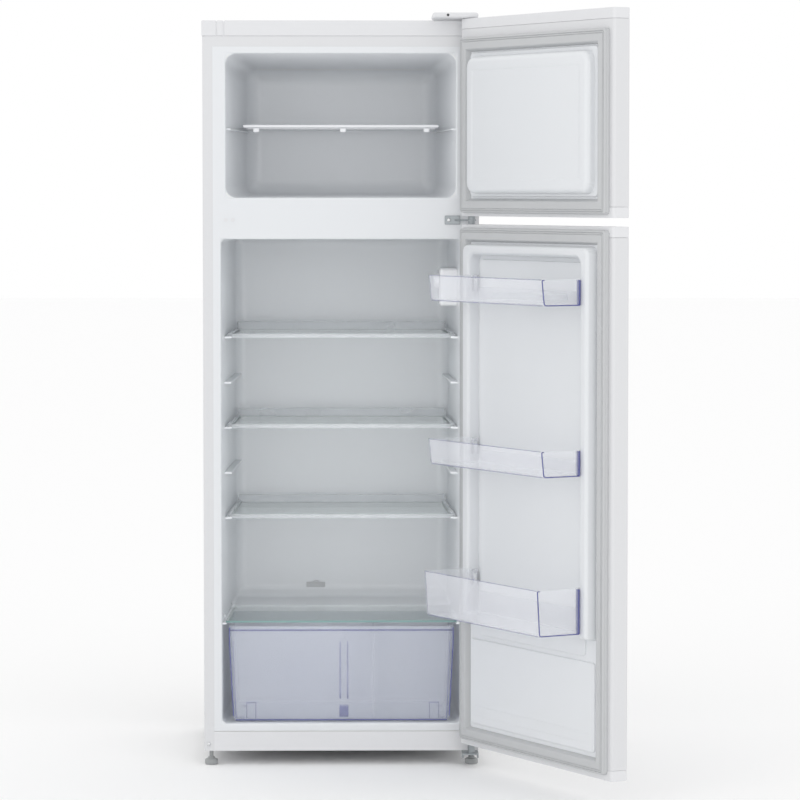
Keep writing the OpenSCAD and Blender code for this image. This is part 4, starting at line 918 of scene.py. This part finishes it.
class FRIDGE_OT_feet_and_hinges(PieceOperator, Operator):
    """Levelling feet, hinge plates, pins and screws"""
    bl_idname = "fridge.feet_and_hinges"
    bl_label = "Feet and hinges"

    def build(self, sizes):
        for side, label in ((-1, "left"), (1, "right")):
            disc = turned([(0, 0), (10.5, 0), (12.4, 1.0), (12.8, 2.4), (12.8, 8.4), (12.2, 10.2), (9.5, 11.6),
                           (6.5, 12.6), (6.2, 15.2), (4, 15.6),
                           (4, 30.4), (0, 30.4)], Matrix.Translation((side * (HALF_W - 13.5), 12, 0)), 48)
            teeth = []
            for i in range(18):
                angle = math.tau * i / 18
                centre = Vector((side * (HALF_W - 13.5) + 12.4 * math.cos(angle), 12 + 12.4 * math.sin(angle),
                                 0))
                teeth.append(rod((centre.x, centre.y, 2.4), (centre.x, centre.y, 8.6), 0.42, 8))
            threads = [turned([(3.9, z), (4.0, z), (4.0, z + 0.7), (3.9, z + 0.7), (3.9, z)],
                              Matrix.Translation((side * (HALF_W - 13.5), 12, 0)), 24) for z in (17, 18.3, 19.6, 20.9, 22.2, 23.5)]
            set_down(f"{label}_foot_moulding", joined([disc] + teeth + threads), "grey", f"{label}_foot",
                     stands_for=[f"{label}_front_foot"])
        split = (FREEZER_DOOR[0] + FRIDGE_DOOR[1]) / 2
        plate = block(HALF_W - 67, HALF_W - 37, -3, 0, split - 8.5, split + 8.5, 0.9, 3)
        hx, hy = HINGE.x, HINGE.y
        arm_points = [(HALF_W - 50, -0.6, split - 1.5), (hx - 12, hy + 6, split - 1.5),
                      (hx - 8, hy - 8, split - 1.5),
                      (hx + 8, hy - 8, split - 1.5), (hx + 8, hy + 4, split - 1.5), (HALF_W - 37, -0.6, split - 1.5)]
        arm = prism(arm_points, (0, 0, 3), radius=0.5, segments=2)
        pin = turned([(0, FRIDGE_DOOR[1] - 14), (3.4, FRIDGE_DOOR[1] - 14), (4, FRIDGE_DOOR[1] - 13.2),
                      (4, FRIDGE_DOOR[1] + 0.5), (7, FRIDGE_DOOR[1] + 0.5),
                      (7, FREEZER_DOOR[0] - 0.5), (4, FREEZER_DOOR[0] - 0.5), (4, FREEZER_DOOR[0] + 13.2), (3.4, FREEZER_DOOR[0] + 14), (0, FREEZER_DOOR[0] + 14)],
                     Matrix.Translation((hx, hy, 0)), 32)
        set_down("middle_hinge_steel", joined([plate, arm, pin]), "zinc", "cabinet",
                 stands_for=["middle_hinge"])
        self.screws(split)

    def screws(self, split):
        heads = []
        facing = Matrix.Rotation(math.radians(90), 4, "X")
        heads.append(self.screw_head(Matrix.Translation((HALF_W - 59, -3, split)) @ facing, 4.0))
        heads.append(self.screw_head(Matrix.Translation((-HALF_W + 9, 0, 41)) @ facing, 4.2))
        for x, y in ((HALF_W - 75, 20), (HALF_W - 75, 48), (HALF_W - 40, 48)):
            heads.append(self.screw_head(Matrix.Translation((x, y, 1467)), 4.0))
        set_down("hinge_screw_heads", joined(heads), "screw", "cabinet", stands_for=["hinge_screws"])

    def screw_head(self, place, radius):
        head = turned([(0, 2.2), (radius * 0.45, 2.1), (radius * 0.8, 1.5), (radius, 0.4), (radius, -0.3),
                       (radius * 0.48, -0.3), (radius * 0.48, -3), (0, -3)], Matrix.Identity(4), 28)
        for turn in (0, 90):
            wing = block(-0.45, 0.45, -radius * 0.5, radius * 0.5, 2.16, 2.26)
            bmesh.ops.transform(wing, verts=wing.verts, matrix=Matrix.Rotation(math.radians(turn + 20), 4, "Z"))
            head = joined([head, wing])
        bmesh.ops.transform(head, verts=head.verts, matrix=place)
        return head


class FRIDGE_OT_light(PieceOperator, Operator):
    """The thermostat housing with its knob and lamp cover"""
    bl_idname = "fridge.light"
    bl_label = "Thermostat and lamp"

    def build(self, sizes):
        low, high = cad_corners("thermostat_housing")
        housing = block(low.x, fridge_wall(172) - 0.3, low.y, high.y, low.z, high.z, 6, 5)
        for vert in housing.verts:
            if vert.co.x > low.x + 15:
                vert.co.x = fridge_wall(vert.co.y) - 0.3
        set_down("thermostat_hood", housing, "plastic", "cabinet", stands_for=["thermostat_housing"])
        knob_box = cad_corners("thermostat_knob")
        middle = (knob_box[0] + knob_box[1]) / 2
        place = Matrix.Translation((low.x - 0.5, middle.y,
                                    middle.z)) @ Matrix.Rotation(math.radians(-90), 4, "Y")
        dial = turned([(0, 10), (11, 10), (13, 9.2), (14, 7.6), (14, 1), (13.4, 0.2), (3, 0), (3, -7),
                       (0, -7)], place, 40)
        grips = []
        for i in range(16):
            angle = math.tau * i / 16
            ridge = rod((13.6 * math.cos(angle), 13.6 * math.sin(angle), 1.4),
                        (13.6 * math.cos(angle), 13.6 * math.sin(angle), 8), 0.55, 8)
            bmesh.ops.transform(ridge, verts=ridge.verts, matrix=place)
            grips.append(ridge)
        mark = block(low.x - 11.4, low.x - 10.3, middle.y - 1.2, middle.y + 1.2, middle.z + 2, middle.z + 12.5,
                     0.4, 2)
        set_down("thermostat_dial", joined([dial, mark] + grips), "plastic", "knob",
                 stands_for=["thermostat_knob"])
        lens_box = cad_corners("lamp_cover")
        lens = block(lens_box[0].x, lens_box[1].x - 1.6, lens_box[0].y, lens_box[1].y, lens_box[0].z,
                     lens_box[1].z, 0.8, 3)
        ridges = [block(lens_box[0].x, lens_box[0].x + 0.8, lens_box[0].y + 4 + i * 5,
                        lens_box[0].y + 6 + i * 5, lens_box[0].z + 4, lens_box[1].z - 4, 0.3, 1)
                  for i in range(12)]
        set_down("lamp_lens", joined([lens] + ridges), "clear", "cabinet", stands_for=["lamp_cover"])


class FRIDGE_OT_back(PieceOperator, Operator):
    """The condenser, compressor and pipework at the back"""
    bl_idname = "fridge.back"
    bl_label = "Back of the cabinet"

    def build(self, sizes):
        y = 512.0
        half, pitch, z0 = 220.0, 60.0, 305.0
        rows = int((1430 - 80 - z0) // pitch)
        route = []
        for row in range(rows + 1):
            ends = [(-half - 26, y, z0 + row * pitch), (half + 26, y, z0 + row * pitch)]
            route += ends if row % 2 == 0 else ends[::-1]
        coil = pipe(route, 2.5, bend=29, sides=12, steps=8)
        wires = [rod((x, y + side * 3.3, z0 - 15), (x, y + side * 3.3, z0 + rows * pitch + 15), 0.75, 6,
                     ease=0.1)
                 for side in (-1, 1) for x in [(-1 + 2 * i / (sizes.condenser_wires - 1)) * (half - 4) for i in range(sizes.condenser_wires)]]
        brackets = []
        for x in (-121, 121):
            for z in (z0 + 1.5 * pitch, z0 + (rows - 1.5) * pitch):
                brackets.append(block(x - 6, x + 6, 490, y + 5, z - 6, z + 6, 1.5, 3))
        set_down("wire_condenser", joined([coil] + wires + brackets), "black_paint", "cabinet",
                 stands_for=["condenser"])
        self.compressor()

    def compressor(self):
        low, high = cad_corners("compressor")
        x, y, z = (low.x + high.x) / 2, (low.y + high.y) / 2, low.z + 1
        shell = turned([(0, 6), (50, 6), (60, 12), (65, 24), (66, 40), (66, 73.6), (68.6, 74), (69, 75),
                        (69, 77), (68.6, 78), (66, 78.4), (65.5, 100),
                        (62, 122), (52, 142), (34, 157), (16, 163), (0, 164)], Matrix.Translation((x, y, z)), 64)
        parts = [shell]
        for side in (-45, 45):
            parts.append(block(x - 92, x + 92, y + side - 12, y + side + 12, z, z + 2.5, 1.0, 2))
        for side in (-40, 40):
            parts.append(block(x + side - 8, x + side + 8, y - 57, y + 57, z + 2.4, z + 12, 1.5, 2))
        parts += [rod((x - 20, y - 66, z + 60), (x - 20, y - 80, z + 60), 4.5),
                  rod((x + 25, y + 50, z + 118), (x + 25, y + 66, z + 124), 4)]
        set_down("compressor_shell", joined(parts), "black_paint", "cabinet", stands_for=["compressor"])
        mounts = []
        box = cad_corners("compressor_mounts")
        for mx in (x - 80, x + 80):
            for my in (y - 45, y + 45):
                mounts.append(turned([(3.2, 0), (10, 0), (11, 1.4), (10, 3.4), (8.6, 5), (10, 6.6), (11, 8.4),
                                      (11, 12.4), (8, 13.8), (3.2, 13.8), (3.2, 0)],
                                     Matrix.Translation((mx, my, box[0].z)), 32))
        set_down("compressor_grommets", joined(mounts), "rubber", "cabinet", stands_for=["compressor_mounts"])
        relay = cad_corners("relay_box")
        case = block(relay[0].x + 12, relay[1].x, relay[0].y, relay[1].y, relay[0].z, relay[1].z, 4, 4)
        inlet = rod((relay[0].x, relay[0].y + 54, relay[0].z + 14),
                    (relay[0].x + 13, relay[0].y + 54, relay[0].z + 14), 6, 24, 1)
        set_down("relay_case", joined([case, inlet]), "black_plastic", "cabinet", stands_for=["relay_box"])
        drier = cad_corners("filter_drier")
        mx, my = (drier[0].x + drier[1].x) / 2, (drier[0].y + drier[1].y) / 2
        can = turned([(0, drier[0].z), (2.2, drier[0].z), (2.2, 90), (3.5, 96), (8.6, 101), (9, 104), (9, 184),
                      (8.6, 187), (3.5, 192), (2.2, 198),
                      (2.2, drier[1].z), (0, drier[1].z)], Matrix.Translation((mx, my, 0)), 32)
        set_down("drier_can", can, "copper", "cabinet", stands_for=["filter_drier"])


class FRIDGE_OT_carried_over(PieceOperator, Operator):
    """Finishes for the frame's own pieces that need no new shape"""
    bl_idname = "fridge.carried_over"
    bl_label = "Carried-over pieces"

    def build(self, sizes):
        repaint("enamel", "outer_shell")
        repaint("foam", "foam_insulation", "freezer_door_foam", "fridge_door_foam")
        repaint("zinc", "back_panel", "compressor_tray", "bottom_hinge", "top_hinge", "roller_axles",
                "thermostat")
        repaint("plastic", "sill_rail", "hinge_hole_plugs", "drain_tube")
        repaint("aluminium", "freezer_evaporator", "fridge_evaporator")
        repaint("glass", "top_shelf_glass", "middle_shelf_glass", "bottom_shelf_glass", "crisper_cover")
        repaint("black_plastic", "evaporation_tray", "left_rear_roller", "right_rear_roller")
        repaint("copper", "refrigerant_lines")
        repaint("frosted", "lamp")


class FRIDGE_OT_studio(PieceOperator, Operator):
    """The floor, the soft lights and the camera"""
    bl_idname = "fridge.studio"
    bl_label = "Studio"

    def build(self, sizes):
        scene = bpy.context.scene
        floor = bmesh.new()
        bmesh.ops.create_grid(floor, x_segments=2, y_segments=2, size=30)
        mesh = bpy.data.meshes.new("studio_floor")
        floor.to_mesh(mesh)
        floor.free()
        ground = bpy.data.objects.new("studio_floor", mesh)
        bpy.context.collection.objects.link(ground)
        material, _, _, shader = new_finish("studio_white")
        shader.inputs["Base Color"].default_value = (0.98, 0.98, 0.98, 1)
        shader.inputs["Roughness"].default_value = 0.9
        shader.inputs["Specular IOR Level"].default_value = 0.1
        mesh.materials.append(material)

        world = bpy.data.worlds.new("studio_world")
        scene.world = world
        world.use_nodes = True
        world.node_tree.nodes["Background"].inputs["Color"].default_value = (1, 1, 1, 1)
        world.node_tree.nodes["Background"].inputs["Strength"].default_value = 1.0
        centre = CABINET @ Vector((0, 0, 760))
        for name, x, y, z, size, power in (("key", -3.2, -4.6, 2.4, 2.0, 14),
                                           ("front", 0.2, -6.2, 1.5, 2.0, 6), ("fill", 2.2, -5.2, 1.2, 2.0, 13)):
            light = bpy.data.lights.new(name, "AREA")
            light.size, light.energy = size, power
            lamp = bpy.data.objects.new(name, light)
            bpy.context.collection.objects.link(lamp)
            lamp.location = centre + Vector((x, y, z - 0.76))
            lamp.rotation_euler = (centre - lamp.location).to_track_quat("-Z", "Y").to_euler()
        for name, half, low, high, power in (("freezer_glow", FREEZER_HALF - 12, FREEZER_LOW + 10,
                                              FREEZER_HIGH - 10, 0.15),
                                             ("fridge_glow", FRIDGE_HALF - 12, FRIDGE_LOW + 10, FRIDGE_HIGH - 10, 0.58)):
            light = bpy.data.lights.new(name, "AREA")
            light.shape, light.size, light.size_y, light.energy = "RECTANGLE", half * 0.002, (high - low) * 0.001, power
            lamp = bpy.data.objects.new(name, light)
            bpy.context.collection.objects.link(lamp)
            lamp.location = CABINET @ Vector((0, -4, (low + high) / 2))
            lamp.rotation_euler = (math.radians(90), 0, 0)
        scene.view_settings.view_transform = "Standard"

        camera = bpy.data.cameras.new("camera")
        camera.lens, camera.sensor_width, camera.clip_end = 160.965, 36, 60
        seat = bpy.data.objects.new("camera", camera)
        bpy.context.collection.objects.link(seat)
        seat.location = CABINET @ Vector((19.6, -7000, 1134))
        reach, middle, level_x, level_z = 3577, 400, 351, 188.5
        pan = math.atan((middle - level_x) / reach)
        tilt = math.atan((level_z - middle) / reach * math.cos(pan))
        seat.rotation_euler = (math.radians(90) + tilt, 0, -pan)
        scene.camera = seat


# ---------------------------------------------------------------- panel and running

PIECES = (FRIDGE_OT_carried_over, FRIDGE_OT_liner, FRIDGE_OT_top_cover, FRIDGE_OT_freezer_door,
          FRIDGE_OT_fridge_door,
          FRIDGE_OT_door_bins, FRIDGE_OT_shelves, FRIDGE_OT_crisper, FRIDGE_OT_feet_and_hinges, FRIDGE_OT_light, FRIDGE_OT_back,
          FRIDGE_OT_studio)


class FRIDGE_PT_panel(Panel):
    """Lists the pieces and the sizes and colours"""
    bl_label = "Refrigerator"
    bl_idname = "FRIDGE_PT_panel"
    bl_space_type = "VIEW_3D"
    bl_region_type = "UI"
    bl_category = "Refrigerator"

    def draw(self, context):
        for group in (context.scene.fridge_sizes, context.scene.fridge_colours):
            column = self.layout.column(align=True)
            for name in group.bl_rna.properties.keys():
                if name not in {"rna_type", "name"}:
                    column.prop(group, name)
        for piece in PIECES:
            self.layout.operator(piece.bl_idname)


CLASSES = (FridgeSizes, FridgeColours) + PIECES + (FRIDGE_PT_panel,)


def register():
    for cls in CLASSES:
        bpy.utils.register_class(cls)
    bpy.types.Scene.fridge_sizes = PointerProperty(type=FridgeSizes)
    bpy.types.Scene.fridge_colours = PointerProperty(type=FridgeColours)


def unregister():
    del bpy.types.Scene.fridge_sizes
    del bpy.types.Scene.fridge_colours
    for cls in reversed(CLASSES):
        bpy.utils.unregister_class(cls)


def main():
    register()
    FINISHES.update(make_finishes())
    for piece in PIECES:
        group, name = piece.bl_idname.split(".")
        getattr(getattr(bpy.ops, group), name)()


if __name__ == "__main__":
    main()
